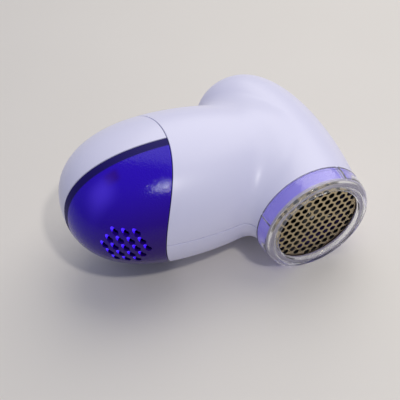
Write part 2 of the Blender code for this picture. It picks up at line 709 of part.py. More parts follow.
blade_front = foil_back + SEAT
blade_tip = clamp_inner - BLADE_TIP_GAP
hub_front = blade_front + ARM_SETBACK
hub_back = hub_front + HUB_LENGTH
bore = COUPLING_RADIUS + SEAT
carrier = turned("blade_carrier", sleeve(HUB_RADIUS, bore, hub_front, hub_back), PALE_PLASTIC, 24)
shape = bmesh.new()
for i in range(BLADE_COUNT):
    spin = Matrix.Rotation(2 * math.pi * i / BLADE_COUNT, 4, "Z")
    side = BLADE_THICKNESS / 2 + SEAT
    add_block(shape, (HUB_RADIUS - 1.2 * MM, side, hub_front + 0.1 * MM),
              (blade_tip - 2 * MM, side + ARM_WIDTH, hub_front + ARM_DEPTH), spin)
arms = add("carrier_arms", mesh_of("carrier_arms", shape), None, CUTTER_AXIS)
join(carrier, arms)
for i in range(BLADE_COUNT):
    spin = Matrix.Rotation(2 * math.pi * i / BLADE_COUNT, 4, "Z")
    shape = bmesh.new()
    add_block(shape, (HUB_RADIUS + SEAT, -BLADE_THICKNESS / 2, blade_front),
              (blade_tip, BLADE_THICKNESS / 2, blade_front + BLADE_DEPTH), spin)
    add("blade_%d" % (i + 1), mesh_of("blade", shape), STEEL, CUTTER_AXIS)

flange_start = hub_back + SPRING_LENGTH + 2 * SEAT
flange_end = flange_start + COUPLING_FLANGE
shaft_bore = SHAFT_RADIUS + SEAT
turned("drive_coupling", (
    (HUB_RADIUS, flange_end), (HUB_RADIUS, flange_start), (COUPLING_RADIUS, flange_start),
    (COUPLING_RADIUS, hub_front + 0.8 * MM), (shaft_bore, hub_front + 0.8 * MM), (shaft_bore, flange_end)),
    BLACK_PLASTIC, 24)


def coil(turns, radius, wire, start, end, per_turn=12):
    """Points of a helix about the local Z axis, whose outer faces lie at start and end."""
    count = int(turns * per_turn)
    climb = end - start - 2 * wire
    return [(radius * math.cos(2 * math.pi * i / per_turn), radius * math.sin(2 * math.pi * i / per_turn),
             start + wire + climb * i / count) for i in range(count + 1)]


tube("cutter_spring", coil(3, SPRING_RADIUS, SPRING_WIRE, hub_back + SEAT, flange_start - SEAT),
     SPRING_WIRE, SPRING_STEEL, CUTTER_AXIS)

fan_start = flange_end + SEAT
fan_end = fan_start + FAN_DEPTH
fan = turned("fan_impeller", (
    (FAN_RADIUS, fan_end), (FAN_RADIUS, fan_end - FAN_PLATE), (FAN_HUB_RADIUS, fan_end - FAN_PLATE),
    (FAN_HUB_RADIUS, fan_start), (shaft_bore, fan_start), (shaft_bore, fan_end)), PALE_PLASTIC, 32)
shape = bmesh.new()
for i in range(VANE_COUNT):
    spin = Matrix.Rotation(2 * math.pi * (i + 0.5) / VANE_COUNT, 4, "Z")
    add_block(shape, (FAN_HUB_RADIUS - 0.6 * MM, -VANE_THICKNESS / 2, fan_start + 1.0 * MM),
              (FAN_RADIUS - 0.5 * MM, VANE_THICKNESS / 2, fan_end - FAN_PLATE / 2), spin)
vanes = add("fan_vanes", mesh_of("fan_vanes", shape), None, CUTTER_AXIS)
join(fan, vanes)

housing_inner = HOUSING_RADIUS - HOUSING_WALL
housing = turned("fan_housing", (
    (HOUSING_RADIUS, HOUSING_END), (HOUSING_RADIUS, HOUSING_START), (HOUSING_INLET, HOUSING_START),
    (HOUSING_INLET, HOUSING_START + HOUSING_WALL), (housing_inner, HOUSING_START + HOUSING_WALL),
    (housing_inner, HOUSING_END)), PALE_PLASTIC, 36)
housing_window = block("housing_window", (-FAR, DUCT_BOTTOM + DUCT_WALL, -DUCT_HALF_WIDTH + DUCT_WALL),
                       (-FAN_HUB_RADIUS, DUCT_TOP - DUCT_WALL, DUCT_HALF_WIDTH - DUCT_WALL))
cut(housing, housing_window)

# Motor on its plate

plate_start = HOUSING_END + SEAT
plate_end = plate_start + PLATE_THICKNESS
motor_plate = block("motor_plate", (-HOUSING_RADIUS, plate_start, -FAR), (FAR, plate_end, FAR), PALE_PLASTIC)
keep(motor_plate, close_body)
plate_holes = turned("plate_hole", ((MOTOR_BOSS_RADIUS + SEAT, plate_end + WALL),
                                    (MOTOR_BOSS_RADIUS + SEAT, plate_start - WALL),
                                    (0, plate_start - WALL), (0, plate_end + WALL)), None, 24)
screw_lines = [((x, plate_start - WALL, 0), (x, plate_end + WALL, 0)) for x in (-MOTOR_SCREW_SPREAD, MOTOR_SCREW_SPREAD)]
screw_holes = rods("motor_screw_holes", screw_lines, SCREW_SHANK_RADIUS + SEAT, None, sides=12)
plunger_hole = rods("plunger_hole", [((PLUNGER_PLACE, plate_start - WALL, 0), (PLUNGER_PLACE, plate_end + WALL, 0))],
                    PLUNGER_RADIUS + SEAT, None, sides=12)
cut(motor_plate, plate_holes, screw_holes, plunger_hole)

motor_start = plate_end + SEAT
motor_end = motor_start + MOTOR_LENGTH
turned("motor_can", (
    (MOTOR_RADIUS, motor_end), (MOTOR_RADIUS, motor_start), (MOTOR_BOSS_RADIUS, motor_start),
    (MOTOR_BOSS_RADIUS, plate_start + SEAT), (shaft_bore, plate_start + SEAT), (shaft_bore, motor_end)), STEEL, 32)
cap_end = motor_end + SEAT + END_CAP_LENGTH
turned("motor_end_cap", sleeve(MOTOR_RADIUS - END_CAP_INSET, shaft_bore, motor_end + SEAT, cap_end), BLACK_PLASTIC, 32)
shaft_start = hub_front + 1.2 * MM
rods("drive_shaft", [((0, 0, shaft_start), (0, 0, cap_end - 1.0 * MM))], SHAFT_RADIUS, STEEL, CUTTER_AXIS, 16)

head_back = plate_start - SEAT
for i, (start, end) in enumerate(screw_lines):
    screw("motor_screw_%d" % (i + 1), (start[0], head_back, 0), (start[0], motor_start - SEAT, 0), 1.2 * MM)

for i, side in enumerate((-1, 1)):
    middle = Vector((0, cap_end + SEAT + TERMINAL_SIZE[1] / 2, side * TERMINAL_SPREAD))
    half = Vector(TERMINAL_SIZE) / 2
    block("motor_terminal_%d" % (i + 1), middle - half, middle + half, BRASS)
capacitor_height = cap_end + SEAT + CAPACITOR_RADIUS
rods("motor_capacitor", [((-CAPACITOR_THICKNESS / 2, capacitor_height, 0), (CAPACITOR_THICKNESS / 2, capacitor_height, 0))],
     CAPACITOR_RADIUS, CERAMIC, sides=20)

# Battery bay: a tray with two cells, head to tail, and their contacts

cell_rear = CELL_FRONT + CELL_LENGTH
front_plate = CELL_FRONT - 0.5 * MM
link_plate = cell_rear + CONTACT_SPRING_LENGTH + 0.3 * MM
tray_front = front_plate - CONTACT_THICKNESS - SEAT
tray_rear = link_plate + CONTACT_THICKNESS + SEAT
floor_top = split_height(tray_rear + TRAY_END_WALL) + SEAT + TRAY_FLOOR
cell_height = floor_top + SEAT + CELL_RADIUS
tray_half = CELL_SPREAD + CELL_RADIUS + SEAT + TRAY_WALL
shape = bmesh.new()
add_block(shape, (-tray_rear - TRAY_END_WALL, floor_top - TRAY_FLOOR, -tray_half),
          (-tray_front + TRAY_END_WALL, floor_top + TRAY_END_HEIGHT, tray_half))
battery_tray = add("battery_tray", mesh_of("battery_tray", shape), PALE_PLASTIC)
shape = bmesh.new()
add_block(shape, (-tray_rear, floor_top, -tray_half + TRAY_WALL), (-tray_front, FAR, tray_half - TRAY_WALL))
tray_hollow = add("tray_hollow", mesh_of("tray_hollow", shape))
tray_sides = block("tray_sides", (-tray_rear, floor_top + TRAY_SIDE_HEIGHT, -FAR), (-tray_front, FAR, FAR))
cut(battery_tray, tray_hollow, tray_sides)
keep(battery_tray, close_body)


def cell(name, side, front, nub_first):
    """One cell lying along the handle, its nub at the front or at the rear."""
    across = side * CELL_SPREAD
    body_front = front + CELL_NUB_LENGTH if nub_first else front
    body_rear = body_front + CELL_LENGTH - CELL_NUB_LENGTH
    nub = (front, body_front + 1.0 * MM) if nub_first else (body_rear - 1.0 * MM, body_rear + CELL_NUB_LENGTH)
    item = rods(name, [((-body_rear, cell_height, across), (-body_front, cell_height, across))], CELL_RADIUS,
                CELL_SLEEVE, sides=28)
    tip = rods(name + "_nub", [((-nub[1], cell_height, across), (-nub[0], cell_height, across))], CELL_NUB_RADIUS,
               sides=16)
    join(item, tip)


cell("battery_a", 1, CELL_FRONT, True)
cell("battery_b", -1, CELL_FRONT + CONTACT_SPRING_LENGTH, False)

for name, side in (("contact_plus", 1), ("contact_minus", -1)):
    across = side * CELL_SPREAD
    block(name, (-front_plate, cell_height - CONTACT_HALF_SIZE, across - CONTACT_HALF_SIZE),
          (-front_plate + CONTACT_THICKNESS, cell_height + CONTACT_HALF_SIZE, across + CONTACT_HALF_SIZE), NICKEL)
link_half = CELL_SPREAD + CONTACT_HALF_SIZE
series_link = block("series_link", (-link_plate - CONTACT_THICKNESS, cell_height - CONTACT_HALF_SIZE, -link_half),
                    (-link_plate, cell_height + CONTACT_HALF_SIZE, link_half), NICKEL)
keep(series_link, close_body)


def contact_spring(name, across, plate, inward):
    """A three-turn coil standing on a contact plate, its axis along the handle."""
    start = SEAT
    points = coil(3, CONTACT_SPRING_RADIUS, CONTACT_SPRING_WIRE, start, start + CONTACT_SPRING_LENGTH - SEAT, 10)
    placed = [(-plate + inward * z, cell_height + y, across + x) for x, y, z in points]
    tube(name, placed, CONTACT_SPRING_WIRE, SPRING_STEEL)


contact_spring("front_contact_spring", -CELL_SPREAD, front_plate, -1)
contact_spring("rear_contact_spring", CELL_SPREAD, link_plate, 1)

# Slide switch under the handle's ridge, and its knob in the pocket

off = -KNOB_TRAVEL / 2
knob = in_switch_frame("switch_knob", KNOB_LENGTH, -POCKET_DEPTH + SEAT, KNOB_PROUD, KNOB_WIDTH, WHITE, off)
stem = in_switch_frame("knob_stem", STEM_LENGTH, -STEM_END, 0, STEM_WIDTH, None, off)
shape = bmesh.new()
rib_pitch = (KNOB_LENGTH - 2 * MM) / (KNOB_RIB_COUNT - 1)
for i in range(KNOB_RIB_COUNT):
    x = off - (KNOB_LENGTH - 2 * MM) / 2 + i * rib_pitch
    add_block(shape, (x - 0.5 * MM, 0, -KNOB_WIDTH / 2 + 0.5 * MM), (x + 0.5 * MM, KNOB_PROUD + KNOB_RIB, KNOB_WIDTH / 2 - 0.5 * MM))
knob_ribs = add("knob_ribs", mesh_of("knob_ribs", shape), None, SWITCH_FRAME)
join(knob, stem, knob_ribs)
lever_top = -STEM_END - SEAT
in_switch_frame("switch_lever", LEVER_SIZE, lever_top - LEVER_HEIGHT, lever_top, LEVER_SIZE, BLACK_PLASTIC, off)
switch_top = lever_top - LEVER_HEIGHT - SEAT
in_switch_frame("switch_body", SWITCH_SIZE[0], switch_top - SWITCH_SIZE[1], switch_top, SWITCH_SIZE[2], BLACK_PLASTIC)

# Safety switch: a plunger that the foil frame's neck presses

rods("safety_plunger", [((PLUNGER_PLACE, NECK_END + SEAT, 0), (PLUNGER_PLACE, PLUNGER_END, 0))], PLUNGER_RADIUS,
     PALE_PLASTIC, sides=12)
safety_low = plate_end + SEAT
safety_x = PLUNGER_PLACE - SAFETY_SWITCH_SIZE[0] / 2
block("safety_switch", (safety_x - 1.5 * MM, safety_low, -SAFETY_SWITCH_SIZE[2] / 2),
      (safety_x + SAFETY_SWITCH_SIZE[0] - 1.5 * MM, safety_low + SAFETY_SWITCH_SIZE[1], SAFETY_SWITCH_SIZE[2] / 2),
      BLACK_PLASTIC)


def smooth_route(points, rounds=2):
    """The points with their corners cut: each round moves a corner to the quarter points of its two sides."""
    route = [Vector(p) for p in points]
    for _ in range(rounds):
        cuts = []
        for a, b in zip(route, route[1:]):
            cuts += [a.lerp(b, 0.25), a.lerp(b, 0.75)]
        route = [route[0]] + cuts[1:-1] + [route[-1]]
    return route


def wire(name, points, finish):
    """An insulated wire, its route given in millimetres."""
    tube(name, smooth_route([[value * MM for value in point] for point in points]), WIRE_RADIUS, finish)


tray_face = (TRAY_END_WALL - tray_front + SEAT) / MM
safety_top = (safety_low + SAFETY_SWITCH_SIZE[1] + SEAT) / MM
terminal_top = (cap_end + SEAT + TERMINAL_SIZE[1] + SEAT) / MM
switch_front = SWITCH_FRAME.matrix_basis @ Vector((SWITCH_SIZE[0] / 2 + SEAT, switch_top - SWITCH_SIZE[1] / 2, 0)) / MM
front_x = switch_front.x + 0.2
front_y = switch_front.y
cell_y = cell_height / MM
clear_z = MOTOR_RADIUS / MM + 5
terminal_z = TERMINAL_SPREAD / MM
side_z = terminal_z + 3
lead_x = safety_x / MM
boss_x = SCREW_PLACES[3][0] / MM
boss_y = SCREW_PLACES[3][1] / MM
wire("wire_supply", ((tray_face, cell_y - 1.5, 7), (tray_face + 1.5, cell_y - 1.5, 7), (tray_face + 3.9, cell_y + 1.5, 6.5),
                     (tray_face + 3.9, cell_y + 8.5, 4), (front_x + 1.5, front_y, 2), (front_x, front_y, 2)), RED_SHEATH)
wire("wire_switched", ((front_x, front_y, -2), (front_x + 1.5, front_y, -2), (boss_x - 2, boss_y + 9, -5),
                       (boss_x + 8, boss_y + 10.5, -7), (-5, terminal_top + 7.5, -terminal_z - 1.5),
                       (0, terminal_top + 1.5, -terminal_z), (0, terminal_top, -terminal_z)), RED_SHEATH)
wire("wire_return", ((tray_face, cell_y - 1.5, -7), (tray_face + 1.5, cell_y - 1.5, -7), (tray_face + 4.4, cell_y - 3, -9),
                     (boss_x + 4, cell_y - 9.5, -clear_z + 1), (0, safety_top + 7, -clear_z), (12, safety_top + 4, 4 - clear_z),
                     (lead_x, safety_top + 1.5, -1.6), (lead_x, safety_top, -1.6)), BLACK_SHEATH)
wire("wire_motor", ((lead_x, safety_top, 1.6), (lead_x, safety_top + 1.5, 1.6), (lead_x - 4, safety_top + 6, side_z),
                    (lead_x - 5.5, terminal_top - 15, side_z + 0.5), (lead_x - 9.5, terminal_top - 4, side_z),
                    (0, terminal_top + 1.5, terminal_z), (0, terminal_top, terminal_z)), BLACK_SHEATH)

# Lay the shaver down: its lowest point on the ground, its box centred over the origin

bpy.context.view_layer.update()
graph = bpy.context.evaluated_depsgraph_get()
corners = []
for item in PARTS.objects:
    if item.type == "EMPTY":
        continue
    seen = item.evaluated_get(graph)
    shape = seen.to_mesh()
    flat = np.empty(len(shape.vertices) * 3)
    shape.vertices.foreach_get("co", flat)
    world = np.array(item.matrix_world)
    points = flat.reshape(-1, 3) @ world[:3, :3].T + world[:3, 3]
    corners += [points.min(axis=0), points.max(axis=0)]
    seen.to_mesh_clear()
low = np.min(corners, axis=0)
high = np.max(corners, axis=0)
REST.location = (-(low[0] + high[0]) / 2, -(low[1] + high[1]) / 2, -low[2])
bpy.context.view_layer.update()
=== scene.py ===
"""Electric fabric shaver lying on a pale table: its visible surfaces and finishes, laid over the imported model.

Design axes, as before the shaver is laid down: X along the handle towards the head, Y from the shaving face up to
the dome, Z across. The casing halves meet at Z = 0 and the cutter turns about the line X = 0, Z = 0. Lengths are
in millimetres, and lay_down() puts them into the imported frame.
"""
import math

import bmesh
import bpy
import numpy as np
from mathutils import Euler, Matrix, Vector


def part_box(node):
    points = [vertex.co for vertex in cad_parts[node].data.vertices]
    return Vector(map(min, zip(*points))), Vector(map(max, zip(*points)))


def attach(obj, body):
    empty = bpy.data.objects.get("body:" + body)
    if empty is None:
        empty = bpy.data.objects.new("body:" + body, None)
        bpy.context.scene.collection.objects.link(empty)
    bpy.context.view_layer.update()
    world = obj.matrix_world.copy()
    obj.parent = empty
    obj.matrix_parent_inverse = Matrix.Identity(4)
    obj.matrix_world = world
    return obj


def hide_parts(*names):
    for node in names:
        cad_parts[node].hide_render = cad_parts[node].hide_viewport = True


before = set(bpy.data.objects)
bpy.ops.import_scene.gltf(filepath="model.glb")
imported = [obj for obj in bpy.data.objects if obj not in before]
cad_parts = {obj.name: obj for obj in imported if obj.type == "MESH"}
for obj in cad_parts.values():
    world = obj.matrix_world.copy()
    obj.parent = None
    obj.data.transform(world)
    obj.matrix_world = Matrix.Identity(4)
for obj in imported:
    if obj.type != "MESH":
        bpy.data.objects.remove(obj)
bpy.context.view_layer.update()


# ---- Table, lamps and camera. The shaver lies on a plain pale table top in a bright room, with a large soft
# window behind it on the right and a small lamp over the camera. The camera looks down on its left flank.

def paint(name):
    """A new material, its node tree and its Principled shader."""
    material = bpy.data.materials.new(name + "_finish")
    material.use_nodes = True
    return material, material.node_tree, material.node_tree.nodes["Principled BSDF"]


def node(tree, kind, place=(0, 0), **values):
    """A new shader node, with its properties set."""
    made = tree.nodes.new(kind)
    made.location = place
    for key, value in values.items():
        setattr(made, key, value)
    return made


floor_size = 25.0   # half a side in metres: its edge stays out of low views
corners = np.array([(-1, -1, 0), (1, -1, 0), (1, 1, 0), (-1, 1, 0)]) * floor_size
table_mesh = bpy.data.meshes.new("table_top")
table_mesh.from_pydata(corners.tolist(), [], [(0, 1, 2, 3)])
table_top = bpy.data.objects.new("table_top", table_mesh)
bpy.context.scene.collection.objects.link(table_top)
table_paint, tree, shader = paint("pale_table")
shader.inputs["Roughness"].default_value = 0.55
where = node(tree, "ShaderNodeTexCoord", (-900, 0))
cloud = node(tree, "ShaderNodeTexNoise", (-700, 0))
cloud.inputs["Scale"].default_value = 9.0
shade = node(tree, "ShaderNodeMix", (-400, 0), data_type="RGBA")
shade.inputs["A"].default_value = (0.74, 0.70, 0.64, 1)
shade.inputs["B"].default_value = (0.78, 0.74, 0.68, 1)
tree.links.new(where.outputs["Object"], cloud.inputs["Vector"])
tree.links.new(cloud.outputs["Fac"], shade.inputs["Factor"])
tree.links.new(shade.outputs["Result"], shader.inputs["Base Color"])
table_mesh.materials.append(table_paint)

room = bpy.data.worlds.new("bright_room")
bpy.context.scene.world = room
room.use_nodes = True
room.node_tree.nodes["Background"].inputs["Color"].default_value = (0.71, 0.77, 1.0, 1)
room.node_tree.nodes["Background"].inputs["Strength"].default_value = 0.39


def lamp(name, turn, lift, distance, size, power, colour):
    """A square soft lamp at an azimuth and elevation in degrees, aimed at the shaver."""
    data = bpy.data.lights.new(name, "AREA")
    data.color = colour
    data.size = size
    data.energy = power
    lit = bpy.data.objects.new(name, data)
    turn, lift = math.radians(turn), math.radians(lift)
    flat = distance * math.cos(lift)
    lit.location = flat * math.cos(turn), flat * math.sin(turn), distance * math.sin(lift)
    lit.rotation_euler = (-lit.location).to_track_quat("-Z", "Y").to_euler()
    bpy.context.scene.collection.objects.link(lit)


lamp("window", turn=38, lift=52, distance=1.1, size=1.2, power=8.0, colour=(1.0, 0.965, 0.87))
lamp("lamp_over_camera", turn=-79, lift=59, distance=0.9, size=0.06, power=1.8, colour=(1.0, 0.975, 0.93))

camera_place = Vector((-0.0965, -0.2531, 0.3001))
camera_aim = Vector((-0.0047, -0.0065, 0.0256))
camera_tilt = math.radians(-6.23)   # the picture's horizon leans this much
camera = bpy.data.objects.new("camera", bpy.data.cameras.new("camera"))
camera.data.lens = 71.7
camera.data.sensor_width = 36.0
camera.data.clip_start = 0.01
camera.matrix_world = (camera_aim - camera_place).to_track_quat("-Z", "Y").to_matrix().to_4x4() \
    @ Euler((0, 0, camera_tilt)).to_matrix().to_4x4()
camera.location = camera_place
bpy.context.scene.collection.objects.link(camera)
bpy.context.scene.camera = camera
bpy.context.scene.view_settings.view_transform = "Standard"


# ---- Casing halves: two glossy lavender-white injection moulded shells, parted along the body's middle plane.
# Four screws from the lower half hold them together; the head's mouth takes the foil frame, and the rear is open
# behind a curved seam for the battery cover and the lint collector.

SEAM = 0.3                                          # joint line between two shells
SEAT = 0.3                                          # clearance between pieces that touch
WALL = 2.2
MOUTH_HEIGHT, HEAD_TOP = 10.1, 98.7
HEAD_RADIUS, HEAD_BOW = 26.6, 5.5
HEAD_CROWN, HEAD_POWER = 20, 4.5                    # where the head starts to close, and its superellipse
HANDLE_LENGTH, HANDLE_WIDEST = 103.6, 50.6          # how far behind the cutter axis it ends, and is widest
HANDLE_HALF_HEIGHT, HANDLE_HALF_WIDTH = 37.6, 32.5
HANDLE_POWER = 2.34
FILLET = 9.0                                        # between head and handle
SEAM_CENTRE_X, SEAM_CENTRE_Y, SEAM_RADIUS = -116.7, 57, 63
SPLIT_HEIGHT, SPLIT_START, SPLIT_SLOPE = 49, 53.7, 0.055


def head_level(x, y, z, inset):
    """Positive inside the head. Its radius, a little less at the mouth, is about an axis that bows forward as a
    parabola; above the crown's start the distance out and the height up close it as a superellipse."""
    share = (y - MOUTH_HEIGHT) / (HEAD_TOP - MOUTH_HEIGHT)
    centre = HEAD_BOW * 4 * share * (1 - share)
    radius = HEAD_RADIUS - 0.4 * np.clip((HEAD_CROWN - y) / (HEAD_CROWN - MOUTH_HEIGHT), 0, 1.4) ** 2 - inset
    out = np.hypot(x - centre, z) / radius
    up = np.clip((y - HEAD_CROWN) / (HEAD_TOP - inset - HEAD_CROWN), 0, None)
    return (1 - (up ** HEAD_POWER + out ** HEAD_POWER) ** (1 / HEAD_POWER)) * radius


def handle_level(x, y, z, inset):
    """Positive inside the handle: ellipses that shrink from its widest place with the square of the way to the head,
    and close at the rear as a superellipse."""
    drop = np.clip((HANDLE_WIDEST + x) / HANDLE_WIDEST, 0, 1.3) ** 2
    half_height, half_width = HANDLE_HALF_HEIGHT - 11.2 * drop - inset, HANDLE_HALF_WIDTH - 6.0 * drop - inset
    centre = 53.0 - 3.9 * (1 + x / HANDLE_LENGTH) ** 2
    back = np.clip((-x - HANDLE_WIDEST) / (HANDLE_LENGTH - inset - HANDLE_WIDEST), 0, None)
    out = np.hypot((y - centre) / half_height, z / half_width)
    closed = (1 - (back ** HANDLE_POWER + out ** HANDLE_POWER) ** (1 / HANDLE_POWER)) * half_width
    return np.minimum(closed, 16 - x)


def body_level(points, inset=0.0):
    """Positive inside the whole body, drawn in by inset: the larger of head and handle, and where the two come
    within the fillet's width of each other, a parabola on top. The fillet grows to its full width as a smooth step
    from 14 in front of the cutter axis to 8 behind it."""
    x, y, z = points[..., 0], points[..., 1], points[..., 2]
    head, handle = head_level(x, y, z, inset), handle_level(x, y, z, inset)
    grown = np.clip((14 - x) / 22, 0, 1)
    fillet = FILLET * grown * grown * (3 - 2 * grown) + 1e-9
    near = np.clip(fillet - np.abs(head - handle), 0, None) / fillet
    return np.minimum(np.maximum(head, handle) + near * near * fillet / 4, y + 10 + inset)


def seam_gap(points):
    """How far a point lies in front of the rear seam, an arc in the X-Y plane."""
    return np.hypot(points[..., 0] - SEAM_CENTRE_X, points[..., 1] - SEAM_CENTRE_Y) - SEAM_RADIUS


def split_gap(points):
    """How far a point lies above the plane between the battery cover and the collector."""
    return points[..., 1] - SPLIT_HEIGHT - SPLIT_SLOPE * (-points[..., 0] - SPLIT_START)


def halved(keep, low, high, rounds=26):
    """The value between low and high where keep(value) turns false, for a whole array at once."""
    for _ in range(rounds):
        middle = (low + high) / 2
        kept = keep(middle)
        low, high = np.where(kept, middle, low), np.where(kept, high, middle)
    return low


def reach(centre, ways, inset):
    """The points where rays from a centre leave the body."""
    far = halved(lambda d: body_level(centre + ways * d[..., None], inset) > 0,
                 np.zeros(ways.shape[:-1]), np.full(ways.shape[:-1], 140.0))
    return centre + ways * far[..., None]


def aim(pole, turns, lifts):
    """Unit vectors at a turn about the pole and a lift towards it."""
    pole = np.array(pole, float) / np.linalg.norm(pole)
    side = np.cross(pole, (0, 0, 1)) if abs(pole[2]) < 0.9 else np.array((1.0, 0, 0))
    side /= np.linalg.norm(side)
    other = np.cross(pole, side)
    turns, lifts = np.asarray(turns)[..., None], np.asarray(lifts)[..., None]
    return pole * np.sin(lifts) + (side * np.cos(turns) + other * np.sin(turns)) * np.cos(lifts)


def shell_rows(centre, pole, limits, wall, columns, rows, inner_rows, edge=0.35):
    """Rows of points over a shell: from its outer pole down to its rim, round the rim's edge and up the inside.

    Each meridian about the pole ends where the smallest of the piece's limits, the distances to its cut faces,
    reaches the row's depth. Over the rim that depth is edge * (1 - sin a) while the skin draws in by
    edge * (1 - cos a), a quarter circle. Meridians stand exactly on the corners, where the limit that ends them
    changes, and between two corners they are spread by the rim's length plus 25 times the turn."""
    bend = np.linspace(0, math.pi / 2, 6)
    depth = np.append(edge * (1 - np.sin(bend)), 0.0)[:, None]
    inset = np.append(edge * (1 - np.cos(bend)), wall)[:, None]
    lowest, highest = math.radians(-88), math.radians(89.5)

    def ends(turns, depth, inset):
        """Lift at which each meridian leaves the piece, and which limit ends it."""
        def place(lifts):
            return reach(centre, aim(pole, turns, lifts), inset)
        lifts = halved(lambda d: limits(place(-d)).min(axis=0) > depth, np.full(turns.shape, -highest),
                       np.full(turns.shape, -lowest), 20)
        return -lifts, limits(place(-lifts - 1e-5)).argmin(axis=0)

    coarse = np.linspace(-math.pi, math.pi, 721)
    which = ends(coarse, edge, 0.0)[1]
    found = np.flatnonzero(which[:-1] != which[1:])
    first = which[found]
    low = np.tile(coarse[found], (len(depth), 1))
    high = np.tile(coarse[found + 1], (len(depth), 1))
    slack = math.radians(1.5)
    corners = halved(lambda t: ends(t, depth, inset)[1] == first, low - slack, high + slack, 12)
    spans = np.diff(np.append(corners[0], corners[0, 0] + 2 * math.pi))
    share = (1 - np.cos(np.linspace(0, math.pi, 241))) / 2
    along = corners[0][:, None] + spans[:, None] * share
    rim = reach(centre, aim(pole, along, ends(along, edge, 0.0)[0]), 0.0)
    length = np.linalg.norm(np.diff(rim, axis=1), axis=-1).cumsum(axis=1) + 25 * spans[:, None] * share[1:]
    length = np.concatenate((np.zeros((len(spans), 1)), length), axis=1)
    counts = np.maximum(np.round(length[:, -1] / length[:, -1].sum() * columns).astype(int), 4)
    turns = []
    for i, count in enumerate(counts):
        spread = np.interp(np.arange(count) / count * length[i, -1], length[i], share)
        after = corners[:, i + 1:i + 2] if i + 1 < len(counts) else corners[:, :1] + 2 * math.pi
        turns.append(corners[:, i:i + 1] + (after - corners[:, i:i + 1]) * spread)
    turns = np.concatenate(turns, axis=1)
    lifts = ends(turns, depth, inset)[0]
    down = np.linspace(1, 0, rows + 1)[1:-1, None]
    outer = reach(centre, aim(pole, turns[:1], lifts[:1] + (math.pi / 2 - lifts[:1]) * down), 0.0)
    rim = reach(centre, aim(pole, turns, lifts), inset)
    up = np.linspace(0, 1, inner_rows + 1)[1:-1, None]
    inner = reach(centre, aim(pole, turns[-1:], lifts[-1:] + (math.pi / 2 - lifts[-1:]) * up), wall)
    top = reach(centre, aim(pole, np.zeros(2), np.full(2, math.pi / 2)), np.array((0.0, wall)))
    return np.concatenate((outer, rim, inner)), top


lying = np.array(Euler((math.radians(1.6), math.radians(5.9), 0)).to_matrix())
shaft_low, shaft_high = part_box("drive_shaft")
shaft_middle = np.array((0, 35.85, 0))
origin = np.array((shaft_low + shaft_high) / 2) - lying @ shaft_middle / 1000


def lay_down(points):
    """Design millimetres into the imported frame's metres."""
    return np.asarray(points) @ lying.T / 1000 + origin


def skin(name, rows, poles=None, wrap=False):
    """A closed surface through rows of points, each row a closed loop: neighbouring rows are joined by quads, and
    one point closes each end, or with wrap the last row meets the first. Its faces are turned to point outwards."""
    count, around = rows.shape[:2]
    points = rows.reshape(-1, 3)
    index = np.arange(count * around).reshape(count, around)
    upper, lower = (index, np.roll(index, -1, axis=0)) if wrap else (index[:-1], index[1:])
    quads = np.stack((upper, lower, np.roll(lower, -1, axis=1), np.roll(upper, -1, axis=1)), axis=-1).reshape(-1, 4)
    faces = quads.tolist()
    if poles is not None:
        points = np.concatenate((points, poles))
        last = count * around
        faces += np.stack((np.full(around, last), index[0], np.roll(index[0], -1)), axis=-1).tolist()
        faces += np.stack((np.full(around, last + 1), np.roll(index[-1], -1), index[-1]), axis=-1).tolist()
    a, b, c, d = (points[quads[:, i]] for i in range(4))
    volume = (a * (np.cross(b, c) + np.cross(c, d))).sum()
    if volume < 0:
        faces = [face[::-1] for face in faces]
    mesh = bpy.data.meshes.new(name)
    mesh.from_pydata(lay_down(points).tolist(), [], faces)
    mesh.shade_smooth()
    made = bpy.data.objects.new(name, mesh)
    bpy.context.scene.collection.objects.link(made)
    return made


def carve(piece, *steps):
    """Apply Boolean steps, each an operation and its tool, and delete the tools."""
    for operation, tool in steps:
        step = piece.modifiers.new(tool.name, "BOOLEAN")
        step.operation, step.object, step.solver = operation, tool, "MANIFOLD"
    graph = bpy.context.evaluated_depsgraph_get()
    mesh = bpy.data.meshes.new_from_object(piece.evaluated_get(graph))
    kept = list(piece.data.materials)
    piece.modifiers.clear()
    piece.data = mesh
    mesh.name = piece.name
    mesh.materials.clear()
    for material in kept:
        mesh.materials.append(material)
    mesh.polygons.foreach_set("material_index", np.zeros(len(mesh.polygons), np.int32))
    for _, tool in steps:
        bpy.data.objects.remove(tool)
    mesh.set_sharp_from_angle(angle=math.radians(38))


def fair(piece, wall=WALL):
    """Shade the outer and inner skins by the direction in which the body's level falls fastest, worked out from
    central differences. Corners that face another way keep the normal of their own faces."""
    mesh = piece.data
    flat = np.empty(len(mesh.vertices) * 3)
    mesh.vertices.foreach_get("co", flat)
    points = (flat.reshape(-1, 3) - origin) @ lying * 1000
    corner = np.empty(len(mesh.loops), int)
    mesh.loops.foreach_get("vertex_index", corner)
    sizes = np.empty(len(mesh.polygons), int)
    mesh.polygons.foreach_get("loop_total", sizes)
    facing = np.empty(len(mesh.polygons) * 3)
    mesh.polygons.foreach_get("normal", facing)
    facing = np.repeat(facing.reshape(-1, 3), sizes, axis=0)
    chosen = np.zeros((len(corner), 3))
    step = np.eye(3) * 0.02
    for inset, side in ((0.0, -1), (wall, 1)):
        slope = np.stack([body_level(points + d, inset) - body_level(points - d, inset) for d in step], axis=-1)
        slope *= side / np.linalg.norm(slope, axis=-1, keepdims=True)
        on_skin = np.abs(body_level(points, inset)) < 0.03
        slope = (slope @ lying.T)[corner]
        wanted = on_skin[corner] & ((slope * facing).sum(axis=-1) > 0.9)
        chosen[wanted] = slope[wanted]
    mesh.normals_split_custom_set(chosen.tolist())


